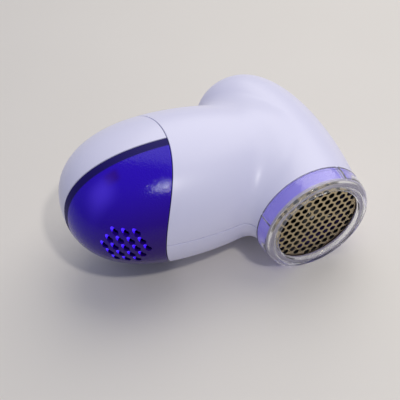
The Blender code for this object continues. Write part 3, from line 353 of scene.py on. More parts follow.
def gather(name, made):
    """Several closed surfaces as one object."""
    joined = bmesh.new()
    for part in made:
        joined.from_mesh(part.data)
        bpy.data.objects.remove(part)
    mesh = bpy.data.meshes.new(name)
    joined.to_mesh(mesh)
    joined.free()
    piece = bpy.data.objects.new(name, mesh)
    bpy.context.scene.collection.objects.link(piece)
    return piece


def even(piece, material=None):
    """Flats shade flat and rounded edges smooth: normals weighted by face area, apart over edges past 38 degrees."""
    if material:
        piece.data.materials.append(material)
    piece.data.set_sharp_from_angle(angle=math.radians(38))
    piece.modifiers.new("even_shading", "WEIGHTED_NORMAL").keep_sharp = True
    return piece


def stands_for(piece, body, slot, *nodes):
    """Ride on a body and take the place of CAD nodes. slot, the record's finish, is not used."""
    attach(piece, body)
    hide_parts(*nodes)


def rounded(corners, radius, steps=5):
    """A closed outline with each corner rounded by a circular arc of at most that radius."""
    corners = np.array(corners, float)
    radius = np.broadcast_to(radius, len(corners))
    out = []
    for i, here in enumerate(corners):
        before, after = corners[i - 1] - here, corners[(i + 1) % len(corners)] - here
        long_before, long_after = np.linalg.norm(before), np.linalg.norm(after)
        before, after = before / long_before, after / long_after
        half = math.acos(max(-1.0, min(1.0, float(before @ after)))) / 2
        if radius[i] <= 0 or half > math.pi / 2 - 0.02:
            out.append(here[None, :])
            continue
        back = min(radius[i] / math.tan(half), 0.46 * long_before, 0.46 * long_after)
        curve = back * math.tan(half)
        middle = (before + after) / np.linalg.norm(before + after) * (curve / math.sin(half))
        start = before * back - middle
        cross = middle / -np.linalg.norm(middle)
        side = start - cross * (start @ cross)
        side /= np.linalg.norm(side)
        swing = np.linspace(1, -1, steps)[:, None] * (math.pi / 2 - half)
        out.append(here + middle + curve * (cross * np.cos(swing) + side * np.sin(swing)))
    return np.concatenate(out)


def slab(name, middle, half, corner, edge, ways=np.eye(3), steps=5):
    """A block with rounded corners and edges. Its outline is a rounded rectangle in the plane of the first two ways;
    along the third it draws in over both faces by a quarter circle of radius edge."""
    swing = np.linspace(0, math.pi / 2, steps)
    inset = np.append(edge * 1.6, edge * (1 - np.sin(swing)))
    height = np.append(half[2], half[2] - edge * (1 - np.cos(swing)))
    inset, height = np.append(inset, inset[::-1]), np.append(height, -height[::-1])
    rows = []
    for drawn, up in zip(inset, height):
        u, v = half[0] - drawn, half[1] - drawn
        flat = rounded(((u, v), (-u, v), (-u, -v), (u, -v)), max(corner - drawn, 0.05), steps)
        rows.append(flat @ np.array(ways[:2]) + np.array(ways[2]) * up)
    poles = np.array(ways[2]) * np.array((half[2], -half[2]))[:, None]
    return skin(name, np.array(middle) + np.stack(rows), np.array(middle) + poles)


def turned(name, profile, about=((0, 0, 0), (0, 1, 0)), sides=96, turns=None, swell=None, solid=False):
    """A closed profile of (radius, distance along) turned about a base point's axis. With solid it runs from the
    axis to the axis instead, and its two ends close it. swell(turns, profile) adds to the radius."""
    profile = np.array(profile, float)
    base, along = np.array(about[0], float), np.array(about[1], float)
    turns = np.arange(sides) * 2 * math.pi / sides if turns is None else turns
    radius = np.repeat(profile[:, :1], len(turns), axis=1)
    if swell:
        radius = radius + swell(turns[None, :], profile)
    rows = base + along * profile[:, 1][:, None, None] + aim(along, turns, np.zeros(len(turns))) * radius[..., None]
    if solid:
        return skin(name, rows[1:-1], rows[[0, -1], 0])
    return skin(name, rows, wrap=True)


# Group for moulded plastic: a broad drift of the colour, fine grain in the gloss and a slight orange peel.
moulding = bpy.data.node_groups.new("moulded_surface", "ShaderNodeTree")
for socket, kind in (("Colour", "NodeSocketColor"), ("Shaded Colour", "NodeSocketColor"),
                     ("Gloss", "NodeSocketFloat"), ("Gloss Spread", "NodeSocketFloat"),
                     ("Peel Height", "NodeSocketFloat"), ("Peel Scale", "NodeSocketFloat")):
    moulding.interface.new_socket(socket, in_out="INPUT", socket_type=kind)
for socket, kind in (("Colour", "NodeSocketColor"), ("Roughness", "NodeSocketFloat"), ("Normal", "NodeSocketVector")):
    moulding.interface.new_socket(socket, in_out="OUTPUT", socket_type=kind)
given = node(moulding, "NodeGroupInput", (-1000, 0))
made = node(moulding, "NodeGroupOutput", (400, 0))
where = node(moulding, "ShaderNodeTexCoord", (-1000, -300))
drift = node(moulding, "ShaderNodeTexNoise", (-700, 200))
drift.inputs["Scale"].default_value = 28.0
drift.inputs["Detail"].default_value = 3.0
mixed = node(moulding, "ShaderNodeMix", (-400, 200), data_type="RGBA")
rub = node(moulding, "ShaderNodeTexNoise", (-700, -50))
rub.inputs["Scale"].default_value = 260.0
rub.inputs["Detail"].default_value = 5.0
spread = node(moulding, "ShaderNodeMath", (-400, -50), operation="MULTIPLY_ADD")
peel = node(moulding, "ShaderNodeTexNoise", (-700, -300))
peel.inputs["Detail"].default_value = 2.0
bump = node(moulding, "ShaderNodeBump", (-200, -300))
bump.inputs["Strength"].default_value = 0.35
for start, end in ((where.outputs["Object"], drift.inputs["Vector"]),
                   (where.outputs["Object"], rub.inputs["Vector"]),
                   (where.outputs["Object"], peel.inputs["Vector"]),
                   (drift.outputs["Fac"], mixed.inputs["Factor"]),
                   (given.outputs["Colour"], mixed.inputs["A"]),
                   (given.outputs["Shaded Colour"], mixed.inputs["B"]),
                   (mixed.outputs["Result"], made.inputs["Colour"]),
                   (rub.outputs["Fac"], spread.inputs[0]),
                   (given.outputs["Gloss Spread"], spread.inputs[1]),
                   (given.outputs["Gloss"], spread.inputs[2]),
                   (spread.outputs[0], made.inputs["Roughness"]),
                   (given.outputs["Peel Scale"], peel.inputs["Scale"]),
                   (given.outputs["Peel Height"], bump.inputs["Distance"]),
                   (peel.outputs["Fac"], bump.inputs["Height"]),
                   (bump.outputs["Normal"], made.inputs["Normal"])):
    moulding.links.new(start, end)


def moulded(name, colour, shaded, gloss, spread=0.08, peel_height=0.00002, peel_scale=900.0, coat=0.0, metal=0.0):
    """A moulded plastic, or plain metal: the shared surface group feeds a Principled shader."""
    material, tree, shader = paint(name)
    surface = node(tree, "ShaderNodeGroup", (-300, 0), node_tree=moulding)
    surface.inputs["Colour"].default_value = (*colour, 1)
    surface.inputs["Shaded Colour"].default_value = (*shaded, 1)
    surface.inputs["Gloss"].default_value = gloss - spread / 2
    surface.inputs["Gloss Spread"].default_value = spread
    surface.inputs["Peel Height"].default_value = peel_height
    surface.inputs["Peel Scale"].default_value = peel_scale
    shader.inputs["Metallic"].default_value = metal
    shader.inputs["Coat Weight"].default_value = coat
    shader.inputs["Coat Roughness"].default_value = 0.06
    tree.links.new(surface.outputs["Colour"], shader.inputs["Base Color"])
    tree.links.new(surface.outputs["Roughness"], shader.inputs["Roughness"])
    tree.links.new(surface.outputs["Normal"], shader.inputs["Normal"])
    return material


white_shell = moulded("white_shell", (0.75, 0.74, 0.91), (0.725, 0.71, 0.89),
                      gloss=0.34, spread=0.08, peel_height=0.00001, peel_scale=700.0)
SCREW_PLACES = ((-40, 42), (20, 50), (10, 84), (-22, 70))
SCREW_SEAT, COUNTERBORE = -12.0, 2.6   # where a counterbore ends, and its radius
casing_centre = np.array((-10.0, 54.4, 0.0))
ridge, ridge_ahead = reach(np.array(((-41.0, 53.0, 0.0), (-31.0, 53.0, 0.0))),
                           np.array(((0.0, 1.0, 0.0), (0.0, 1.0, 0.0))), 0.0)
ridge_along = (ridge_ahead - ridge) / np.linalg.norm(ridge_ahead - ridge)
ridge_out = np.array((-ridge_along[1], ridge_along[0], 0.0))
ridge_ways = np.array((ridge_along, (0.0, 0.0, 1.0), ridge_out))


def casing_limits(side):
    """Distances of a casing half's points from its parting face, the mouth and the rear seam."""
    return lambda p: np.stack((side * p[..., 2] - SEAM / 2, p[..., 1] - MOUTH_HEIGHT, seam_gap(p) - SEAM / 2))


for name, side in (("casing_upper", 1), ("casing_lower", -1)):
    rows, poles = shell_rows(casing_centre, (0, 0, side), casing_limits(side), WALL, 300, 100, 40)
    casing = skin(name + "_shell", rows, poles)
    casing.data.materials.append(white_shell)
    steps = [("DIFFERENCE", slab("knob_pocket", ridge + ridge_out * 2.7, (8.6, 4.6, 3.9), 1.8, 0.4, ridge_ways)),
             ("DIFFERENCE", slab("knob_slot", ridge - ridge_out * 3.3, (5.6, 2.4, 5.5), 2.0, 0.3, ridge_ways))]
    if side < 0:
        bore = ((0, 60), (COUNTERBORE, 60), (COUNTERBORE, -SCREW_SEAT), (0, -SCREW_SEAT))
        steps += [("DIFFERENCE", turned("counterbore_%d" % i, bore, ((x, y, 0), (0, 0, -1)), 40, solid=True))
                  for i, (x, y) in enumerate(SCREW_PLACES)]
    carve(casing, *steps)
    fair(casing)
    stands_for(casing, "casing", "white_shell", name)


# ---- Case screws: four pan-head self-tapping steel screws with a cross recess. They pull the two casing halves
# together from the lower one, their heads deep in its counterbores.
bright_steel = moulded("bright_steel", (0.62, 0.62, 0.64), (0.50, 0.50, 0.53),
                       gloss=0.3, spread=0.16, peel_height=0.00001, peel_scale=1400.0, metal=1.0)


def screw(name, base, along, head, seat, tip, radius, shank, material, thread=0.9):
    """A screw about an axis: pan head from head down to its seat, then a shank whose radius gains 0.12 times a
    cosine of the turn less the distance over the pitch, and a short point. A cross is cut into the head."""
    way = 1 if head > seat else -1
    down = np.linspace(seat - way * 0.4, tip + way * 1.2, 84)
    crown = rounded(((0, head), (radius, head), (radius, seat), (shank, seat), (0, seat)), (0, 0.9, 0.1, 0, 0))[:-1]
    profile = np.concatenate((crown, np.stack((np.full(84, shank), down), axis=-1), ((0.25, tip), (0, tip))))

    def ridged(turn, rows):
        """The thread: only on the shank, clear of the seat."""
        on_shank = (rows[:, :1] == shank) & (np.abs(rows[:, 1:] - seat) > 0.8)
        return np.where(on_shank, 0.12 * np.cos(turn - 2 * math.pi * rows[:, 1:] / thread), 0)

    made = turned(name, profile, (base, along), 24, solid=True, swell=ridged)
    across = np.cross(along, (0, 1, 0)) if abs(along[1]) < 0.9 else np.array((1.0, 0, 0))
    ways = np.array((across, np.cross(along, across), along))
    middle = np.array(base) + np.array(along, float) * head
    cross = [slab("cross", middle, (radius * 0.62, 0.24, 0.8), 0.2, 0.12, ways[list(order)])
             for order in ((0, 1, 2), (1, 0, 2))]
    carve(made, *(("DIFFERENCE", arm) for arm in cross))
    return even(made, material)


for i, (x, y) in enumerate(SCREW_PLACES):
    made = screw("case_screw_%d_steel" % (i + 1), (x, y, 0), (0, 0, -1), head=14.1, seat=12.3, tip=-7.0, radius=2.3,
                 shank=1.1, material=bright_steel)
    stands_for(made, "casing", "steel", "case_screw_%d" % (i + 1))


# ---- Battery cover: one thin shell of the same white plastic, the upper half of the rear end. It slides off
# rearwards over the cells.
rows, poles = shell_rows(np.array((-66.0, 54.0, 0.0)), (-0.5, 1, 0),
                         lambda p: np.stack((-seam_gap(p) - SEAM / 2, split_gap(p) - SEAM / 2)), WALL, 280, 80, 30)
cover = skin("battery_cover_shell", rows, poles)
cover.data.materials.append(white_shell)
fair(cover)
stands_for(cover, "rear_cover", "white_shell", "battery_cover")


# ---- Lint collector: a translucent blue-violet shell, the lower half of the rear end. Painted shade darkens it
# towards the underside, and a nearly black painted band along the battery cover stands for the shaded inside seen
# through the shell. It slides off to be emptied; the air leaves by nineteen holes with slanted flutes, whose walls
# glow with painted light.
def sum_of(tree, operation, *terms, kind="ShaderNodeMath", out=0):
    """A maths node fed by sockets or plain values; gives its output socket."""
    made = node(tree, kind, operation=operation)
    for slot, term in zip(made.inputs, terms):
        if isinstance(term, bpy.types.NodeSocket):
            tree.links.new(term, slot)
        else:
            slot.default_value = term
    return made.outputs[out]


def design_height(tree, direction, offset):
    """The distance in millimetres along a design direction, less offset, as a socket over the surface."""
    where = node(tree, "ShaderNodeTexCoord")
    world = lying @ np.array(direction, float) * 1000
    along = sum_of(tree, "DOT_PRODUCT", where.outputs["Object"], tuple(world), kind="ShaderNodeVectorMath", out=1)
    return sum_of(tree, "SUBTRACT", along, float(world @ origin + offset))


def ramp(tree, value, low, high):
    """A smooth step from 0 at low to 1 at high."""
    made = node(tree, "ShaderNodeMapRange", interpolation_type="SMOOTHSTEP")
    made.inputs["From Min"].default_value, made.inputs["From Max"].default_value = low, high
    tree.links.new(value, made.inputs["Value"])
    return made.outputs["Result"]


def tint(tree, factor, first, second):
    """A mix of two colours, each a socket or three numbers."""
    made = node(tree, "ShaderNodeMix", data_type="RGBA")
    tree.links.new(factor, made.inputs["Factor"])
    for slot, colour in ((made.inputs["A"], first), (made.inputs["B"], second)):
        if isinstance(colour, bpy.types.NodeSocket):
            tree.links.new(colour, slot)
        else:
            slot.default_value = (*colour, 1)
    return made.outputs["Result"]


def face_middles(piece):
    """The middle of each face, in design millimetres."""
    middles = np.empty(len(piece.data.polygons) * 3)
    piece.data.polygons.foreach_get("center", middles)
    return (middles.reshape(-1, 3) - origin) @ lying * 1000


def finish_by_face(piece, chosen):
    """Each face wears the piece's first material, its second where chosen is 1 or true, its third where it is 2."""
    piece.data.polygons.foreach_set("material_index", chosen.astype(np.int32))


def patch(tree, along, across, most):
    """A soft patch in the shell's colour, used for a mark seen through the shell and for a painted glow: its middle
    in design x or y, where it ends and where it is full.
    """
    parts = [ramp(tree, sum_of(tree, "ABSOLUTE", design_height(tree, way, middle)), end, full)
             for way, (middle, end, full) in zip(((1, 0, 0), (0, 1, 0)), (along, across))]
    return sum_of(tree, "MULTIPLY", sum_of(tree, "MULTIPLY", *parts), most)


violet_clear = moulded("violet_clear", (0.030, 0.003, 0.54), (0.022, 0.002, 0.46),
                       gloss=0.12, spread=0.05, peel_height=0.00026, peel_scale=1300.0)
tree = violet_clear.node_tree
shader = tree.nodes["Principled BSDF"]
shader.inputs["Specular IOR Level"].default_value = 0.21
surface = next(n for n in tree.nodes if n.type == "GROUP")
# painted shade: the shell's colour turns darker towards its underside, where less light reaches it
painted_underside_shade = ramp(tree, design_height(tree, (0, 0.8, 0.6), 0.0), 46.0, 8.0)
colour = tint(tree, painted_underside_shade, surface.outputs["Colour"], (0.026, 0.002, 0.15))
# painted shade: a nearly black band along the split to the battery cover stands for the shaded inside seen through
# the shell
rim = ramp(tree, design_height(tree, (SPLIT_SLOPE, 1, 0), SPLIT_HEIGHT - SPLIT_SLOPE * SPLIT_START), -4.7, -4.0)
colour = tint(tree, rim, colour, (0.006, 0.0, 0.11))
satin = sum_of(tree, "MULTIPLY_ADD", rim, 0.45, surface.outputs["Roughness"])
tree.links.new(satin, shader.inputs["Roughness"])
latch = patch(tree, (-83.5, 4.6, 1.2), (41.3, 4.0, 0.9), 0.55)
colour = tint(tree, latch, colour, (0.035, 0.001, 0.10))
# painted reflection: a lighter violet patch on the flank stands for a broad glow of reflected light
painted_glow_patch = patch(tree, (-89.6, 9.0, 0.5), (38.2, 8.0, 0.5), 0.85)
colour = tint(tree, painted_glow_patch, colour, (0.08, 0.033, 0.77))
tree.links.new(colour, shader.inputs["Base Color"])
# painted glow: the vent walls are a brighter violet than the shell and give off light, for light led through the wall
vent_painted_glow = moulded("vent_painted_glow", (0.06, 0.01, 0.95), (0.04, 0.005, 0.8), gloss=0.2, spread=0.05)
vent_shader = vent_painted_glow.node_tree.nodes["Principled BSDF"]
vent_shader.inputs["Emission Color"].default_value = (0.05, 0.006, 0.9, 1)   # light led through the wall
vent_shader.inputs["Emission Strength"].default_value = 0.8

rows, poles = shell_rows(np.array((-68.0, 48.0, 0.0)), (-0.7, -1, 0),
                         lambda p: np.stack((-seam_gap(p) - SEAM / 2, -split_gap(p) - SEAM / 2)), WALL, 280, 90, 30)
collector = skin("lint_collector_shell", rows, poles)
collector.data.materials.append(violet_clear)
VENT_PITCH, VENT_RADIUS, FLUTE_RADIUS, FLUTE_DEPTH = 4.8, 1.4, 1.0, 0.8
vent_middle = reach(np.array((-85.0, 53.0, 0.0)), np.array(((0.0, -1.0, 0.0),)), 0.0)[0]
lean = math.radians(30)
vent_out = np.array((-math.sin(lean), -math.cos(lean), 0))
vent_along = np.array((math.cos(lean), -math.sin(lean), 0))
vents = np.array([
    vent_middle + vent_along * VENT_PITCH * (a + b / 2) + np.array((0, 0, VENT_PITCH * b * math.sqrt(3) / 2))
    for a in range(-2, 3) for b in range(-2, 3) if abs(a + b) <= 2])
vents = reach(vents - vent_out * 12, np.broadcast_to(vent_out, vents.shape), 0.0)
faced = np.stack([body_level(vents - step) - body_level(vents + step) for step in np.eye(3) * 0.05], axis=-1)
faced /= np.linalg.norm(faced, axis=-1, keepdims=True)
flutes = np.broadcast_to(vent_along * -0.59 + np.array((0, 0, 0.81)), vents.shape)
flutes = flutes - (flutes * faced).sum(axis=-1, keepdims=True) * faced
flutes = 0.45 * faced + 0.89 * flutes / np.linalg.norm(flutes, axis=-1, keepdims=True)
vent_profile = ((0, -6), (VENT_RADIUS, -6), (VENT_RADIUS, 0.8), (0, 0.8))
holes = [turned("vent", vent_profile, (middle, vent_out), 28, solid=True) for middle in vents]
flute_profile = ((0, 0), (FLUTE_RADIUS, 0), (FLUTE_RADIUS, 5), (0, 5))
slants = [turned("flute", flute_profile, (middle - FLUTE_DEPTH * out, way), 20, solid=True)
          for middle, out, way in zip(vents, faced, flutes)]
carve(collector, ("DIFFERENCE", gather("vent_holes", holes)), ("DIFFERENCE", gather("vent_flutes", slants)))
fair(collector)
collector.data.materials.append(vent_painted_glow)
centres = face_middles(collector)
away = centres[:, None, :] - vents
away = away - (away @ vent_out)[..., None] * vent_out
away = np.linalg.norm(away, axis=-1).min(axis=1)
skins = np.minimum(np.abs(body_level(centres)), np.abs(body_level(centres, WALL))) < 0.02
hole_wall = 1.39   # how far the straight holes' flat faces lie from their axes
painted_glow_faces = (away < 6) & (np.abs(away - hole_wall) > 0.03) & ~skins
finish_by_face(collector, painted_glow_faces)
stands_for(collector, "collector", "violet_clear", "lint_collector")


# ---- Spacer ring: a clear polystyrene cup with a rolled front rim, which sets the distance between foil and
# fabric. Four pairs of thin ribs guide it on the foil frame, and it pulls off forwards.
ring_paint, tree, shader = paint("clear_ring")
shader.inputs["Base Color"].default_value = (0.96, 0.965, 0.99, 1)
shader.inputs["IOR"].default_value = 1.49
shader.inputs["Transmission Weight"].default_value = 0.965   # polystyrene is a little hazy
where = node(tree, "ShaderNodeTexCoord")
rub = node(tree, "ShaderNodeTexNoise")
rub.inputs["Scale"].default_value = 420.0
tree.links.new(where.outputs["Object"], rub.inputs["Vector"])
tree.links.new(sum_of(tree, "MULTIPLY_ADD", rub.outputs["Fac"], 0.05, 0.01), shader.inputs["Roughness"])
passing = node(tree, "ShaderNodeBsdfTransparent")   # light falls through the clear plastic on what lies behind it
passing.inputs["Color"].default_value = (0.9, 0.9, 0.95, 1)
ray = node(tree, "ShaderNodeLightPath")
choice = node(tree, "ShaderNodeMixShader")
tree.links.new(ray.outputs["Is Shadow Ray"], choice.inputs["Fac"])
tree.links.new(shader.outputs["BSDF"], choice.inputs[1])
tree.links.new(passing.outputs["BSDF"], choice.inputs[2])
tree.links.new(choice.outputs["Shader"], tree.nodes["Material Output"].inputs["Surface"])
RING_RADIUS = 27   # on which the ribs are measured
rib_turns = np.radians(-66.5 - 93.0 * np.arange(4))
arc = np.linspace(-1.7, 1.7, 27) / RING_RADIUS
plain = np.arange(180) * 2 * math.pi / 180


def swing_from(turn, centre):
    """The angle from a centre to a turn, between minus and plus half a turn."""
    return (turn - centre + math.pi) % (2 * math.pi) - math.pi


plain = plain[np.abs(swing_from(plain[:, None], rib_turns)).min(axis=1) > 1.75 / RING_RADIUS]
ring_turns = np.sort(np.concatenate((plain, (rib_turns[:, None] + arc).ravel() % (2 * math.pi))))


def rib_swell(turn, profile):
    """Two ribs 0.22 high, 1.05 to either side of each guide, and a groove 0.3 deep between them; only on the outer
    wall, fading in above the rolled rim."""
    side = np.abs(swing_from(turn[..., None], rib_turns)).min(axis=-1) * RING_RADIUS
    relief = 0.22 * np.exp(-((side - 1.05) / 0.24) ** 2) - 0.3 * np.exp(-(side / 0.72) ** 4)
    return relief * np.clip((profile[:, 1:] - 1.6) / 0.8, 0, 1) * (profile[:, :1] > 26.2)


ring = turned("spacer_ring_clear", rounded(
    ((27.1, 9.8), (27.1, 9.1), (26.93, 9.0), (26.9, 6.0), (26.5, 2.6), (25.9, 0.6), (24.4, 0.0), (23.5, 0.1),
     (23.2, 0.55), (22.9, 0.1), (21.2, 0.0), (20.6, 0.5), (20.6, 1.5), (21.2, 2.0), (25.1, 2.0), (25.6, 2.8),
     (25.9, 9.8)),
    (0.25, 0.1, 0.1, 3, 3, 1.6, 1.2, 0.3, 0.25, 0.3, 0.6, 0.4, 0.4, 0.3, 0.5, 0.5, 0.3)),
    turns=ring_turns, swell=rib_swell)
ring.data.materials.append(ring_paint)
stands_for(ring, "spacer", "clear_ring", "spacer_ring")


# ---- Foil frame: the moulded violet ring that carries the foil, with a neck that plugs into the head. Its violet glow
# is painted light. Its front faces under the clear rim are pale, partly a painted reflection of a silvery rim, and
# its bore is painted darker, as shade inside the head.
# painted glow: the frame gives off violet light, for light scattered on through the plastic
frame_violet_painted_glow = moulded("frame_violet_painted_glow", (0.075, 0.057, 0.22), (0.063, 0.048, 0.19), gloss=0.42)
shader = frame_violet_painted_glow.node_tree.nodes["Principled BSDF"]
shader.inputs["Emission Color"].default_value = (0.24, 0.19, 0.95, 1)   # light scattered on through the plastic
shader.inputs["Emission Strength"].default_value = 0.42
foil_frame = turned("foil_frame_ring", rounded(
    ((22.7, 14.0), (22.7, 9.95), (25.75, 9.95), (25.75, 8.9), (25.3, 8.7), (25.3, 3.4), (24.6, 2.4), (21.4, 2.4),
     (21.4, 3.1), (23.0, 3.1), (23.0, 8.6), (21.4, 9.4), (21.4, 14.0)), 0.25), sides=192)
foil_frame.data.materials.append(frame_violet_painted_glow)
# painted shade: the bore gets a darker violet without the glow, for the shade inside the head
even(foil_frame, moulded("frame_bore_painted_shade", (0.05, 0.03, 0.16), (0.035, 0.02, 0.12), gloss=0.5))
# painted reflection, partly: the pale front faces stand for a silvery plated rim and its reflections
foil_frame.data.materials.append(moulded("frame_face_painted_reflection", (0.36, 0.33, 0.43), (0.32, 0.29, 0.39), gloss=0.3))
centres = face_middles(foil_frame)
bore = (np.hypot(centres[:, 0], centres[:, 2]) < 23.4) & (centres[:, 1] > 3.2)
finish_by_face(foil_frame, np.where(bore, 1, np.where(centres[:, 1] < 3.3, 2, 0)))
stands_for(foil_frame, "foil_head", "violet_clear", "foil_frame")


# ---- Cutting foil: a thin stamped steel disc full of round holes with their edges turned in. A clamp ring holds it
# in the frame from behind.
# painted reflection: the steel's warm golden tint stands for a wooden table mirrored in the foil
foil_steel = moulded("foil_steel", (0.52, 0.43, 0.27), (0.42, 0.34, 0.21),
                     gloss=0.26, spread=0.14, peel_height=0.00001, peel_scale=900.0, metal=1.0)
foil = turned("cutting_foil_steel", rounded(((0, 3.7), (22.7, 3.7), (22.7, 3.4), (0, 3.4)), (0, 0.1, 0.1, 0)),
              sides=120, solid=True)
HOLE_PITCH, HOLE_RADIUS, HOLE_MOUTH = 3.85, 1.43, 1.85
turn = math.radians(6)
hole_turn = np.array(((math.cos(turn), math.sin(turn)), (-math.sin(turn), math.cos(turn))))
hole_places = np.array([(HOLE_PITCH * (a + b / 2), HOLE_PITCH * b * math.sqrt(3) / 2)
                        for a in range(-7, 8) for b in range(-7, 8) if a * a + a * b + b * b < 29]) @ hole_turn
hole_profile = ((0, 3.1), (HOLE_MOUTH, 3.1), (HOLE_RADIUS, 3.5), (HOLE_RADIUS, 3.6), (HOLE_MOUTH, 4.0), (0, 4.0))
holes = [turned("hole", hole_profile, ((x, 0, z), (0, 1, 0)), 20, solid=True) for x, z in hole_places]
carve(foil, ("DIFFERENCE", gather("foil_holes", holes)))
even(foil, foil_steel)
stands_for(foil, "foil_head", "steel", "cutting_foil")


# ---- Power switch: a ribbed white knob in a pocket on the handle's ridge. Its stem passes the casing's slot and
# moves the lever of a slide switch.
def at_ridge(along, out, across=0.0):
    """A place in the pocket, measured along the ridge, out of the skin and across."""
    return ridge + np.array((along, across, out)) @ ridge_ways


knob = gather("switch_knob_cap", [
    slab("cap", at_ridge(-3, -0.1), (5.0, 4.0, 0.8), 1.5, 0.45, ridge_ways),
    slab("stem", at_ridge(-3, -3.2), (2.0, 1.8, 2.8), 0.5, 0.2, ridge_ways),
    *(slab("rib", at_ridge(-7 + 8 / 3 * i, 0.9), (0.5, 3.5, 0.9), 0.48, 0.42, ridge_ways) for i in range(4))])
even(knob, white_shell)
stands_for(knob, "power_slider", "white_shell", "switch_knob")


# ---- Cells: two AA cells, head to tail in the tray. Each is a drawn steel can with a plain dark plastic sleeve
# shrunk over it.
cell_sleeve = moulded("cell_sleeve", (0.05, 0.055, 0.07), (0.035, 0.04, 0.055),
                      gloss=0.3, spread=0.1, peel_height=0.00001, peel_scale=1500.0, coat=0.4)
CELL_RADIUS, CELL_SIDE = 7.25, 7.6   # a cell's radius, and how far it lies to the side
BAY_REAR, FLOOR_THICKNESS = 93.1, 2.6
cell_height = SPLIT_HEIGHT + SPLIT_SLOPE * (BAY_REAR - SPLIT_START) + SEAT + FLOOR_THICKNESS + SEAT + CELL_RADIUS
cell_profile = rounded(
    ((0, 36.5), (2.75, 36.5), (2.75, 37.8), (5.3, 37.8), (5.6, 37.5), (CELL_RADIUS, 37.5), (CELL_RADIUS, 87.0),
     (6.0, 87.0), (5.7, 86.7), (0, 86.7)), (0, 0.5, 0.2, 0.1, 0.1, 0.8, 0.8, 0.15, 0.15, 0))
for name, across, way, shift in (("battery_a", CELL_SIDE, -1, 0.0), ("battery_b", -CELL_SIDE, 1, -127.0)):
    about = ((0, cell_height, across), (way, 0, 0))
    cell = turned(name + "_cell", cell_profile + np.array((0, shift)), about, 64, solid=True)
    cell.data.materials.append(cell_sleeve)
    even(cell, bright_steel)
    centres = face_middles(cell)
    finish_by_face(cell, np.hypot(centres[:, 1] - cell_height, centres[:, 2] - across) < 5.75)
    stands_for(cell, "casing", "cell_sleeve", name)


# ---- Battery tray: a pale moulded box, open above, that holds the cells side by side. Its corners are trimmed to
# the shell's inside.
pale_plastic = moulded("pale_plastic", (0.70, 0.70, 0.73), (0.64, 0.64, 0.68),
                       gloss=0.45, spread=0.12, peel_height=0.00003, peel_scale=1200.0)


def mass(inset):
    """The solid body drawn in by inset, as far as rays from the middle of the handle reach."""
    turns, lifts = np.linspace(0, 2 * math.pi, 97)[:-1], np.radians(np.linspace(88, -88, 61))
    middle = np.array((-60.0, 55.0, 0.0))
    rows = reach(middle, aim((1, 0, 0), turns[None, :] + 0 * lifts[:, None], lifts[:, None] + 0 * turns), inset)
    return skin("mass", rows, reach(middle, np.array(((1.0, 0, 0), (-1.0, 0, 0))), inset))


flat_ways = np.array(((1.0, 0, 0), (0, 0, 1.0), (0, 1.0, 0)))
floor_top = cell_height - 7.55
tray = slab("battery_tray_box", (-63.4, floor_top + 6.0, 0), (29.7, 16.35, 8.6), 1.6, 0.4, flat_ways)
carve(tray, ("DIFFERENCE", slab("hollow", (-63.4, floor_top + 10, 0), (28.3, 15.15, 10.0), 1.0, 0.4, flat_ways)),
      ("DIFFERENCE", slab("low_sides", (-63.4, floor_top + 16.6, 0), (28.3, 30.0, 10.0), 1.4, 0.4, flat_ways)),
      ("INTERSECT", mass(WALL + 0.6)))
even(tray, pale_plastic)
stands_for(tray, "casing", "pale_plastic", "battery_tray")


# ---- Cell contacts: nickel-plated spring steel. Two plates in front, each with a spring or a pressed dimple, and one
# link across the rear.
nickel = moulded("nickel", (0.72, 0.69, 0.62), (0.60, 0.57, 0.50),
                 gloss=0.26, spread=0.14, peel_height=0.00001, peel_scale=1600.0, metal=1.0)
plate_ways = np.array(((0, 1.0, 0), (0, 0, 1.0), (1.0, 0, 0)))


def wound(name, base, along, low, high, turns, radius, wire, material):
    """A helical spring: a circle of the wire's radius carried along a helix, set in the helix's own radial and cross
    directions, with its outer faces at low and high."""
    share = np.linspace(0, 1, int(turns * 30) + 1)
    angle = 2 * math.pi * turns * share
    climb = high - low - 2 * wire
    radial = aim(along, angle, np.zeros(len(angle)))
    tangent = aim(along, angle + math.pi / 2, np.zeros(len(angle))) * 2 * math.pi * turns * radius
    tangent = tangent + np.array(along) * climb
    tangent /= np.linalg.norm(tangent, axis=-1, keepdims=True)
    middle = np.array(base) + np.array(along) * (low + wire + climb * share)[:, None] + radial * radius
    round_wire = np.arange(12)[:, None] * math.pi / 6
    crosswise = np.cross(tangent, radial)[:, None]
    rows = middle[:, None] + wire * (radial[:, None] * np.cos(round_wire) + crosswise * np.sin(round_wire))
    made = skin(name, rows, middle[[0, -1]])
    made.data.materials.append(material)
    return made


for name, across in (("contact_plus", CELL_SIDE), ("contact_minus", -CELL_SIDE)):
    plate = [slab("plate", (-35.7, cell_height, across), (4.6, 4.6, 0.3), 1.0, 0.12, plate_ways)]
    if across > 0:
        plate.append(turned("dimple", rounded(((0, 36.3), (1.6, 36.3), (2.3, 35.9), (0, 35.9)), (0, 0.4, 0, 0)),
                            ((0, cell_height, across), (-1, 0, 0)), 40, solid=True))
    stands_for(even(gather(name + "_plate", plate), nickel), "casing", "nickel", name)
link = slab("series_link_plate", (-91.1, cell_height, 0), (4.6, 12.2, 0.3), 1.2, 0.12, plate_ways)
carve(link, ("INTERSECT", mass(WALL + 0.6)))
stands_for(even(link, nickel), "casing", "nickel", "series_link")
for name, across, start, way in (("front_contact_spring", -CELL_SIDE, -36.0, -1.0),
                                 ("rear_contact_spring", CELL_SIDE, -90.8, 1.0)):
    coil = wound(name + "_wire", (start, cell_height, across), (way, 0, 0), low=0.3, high=3.5, turns=3, radius=3.2,
                 wire=0.35, material=nickel)
    stands_for(coil, "casing", "nickel", name)


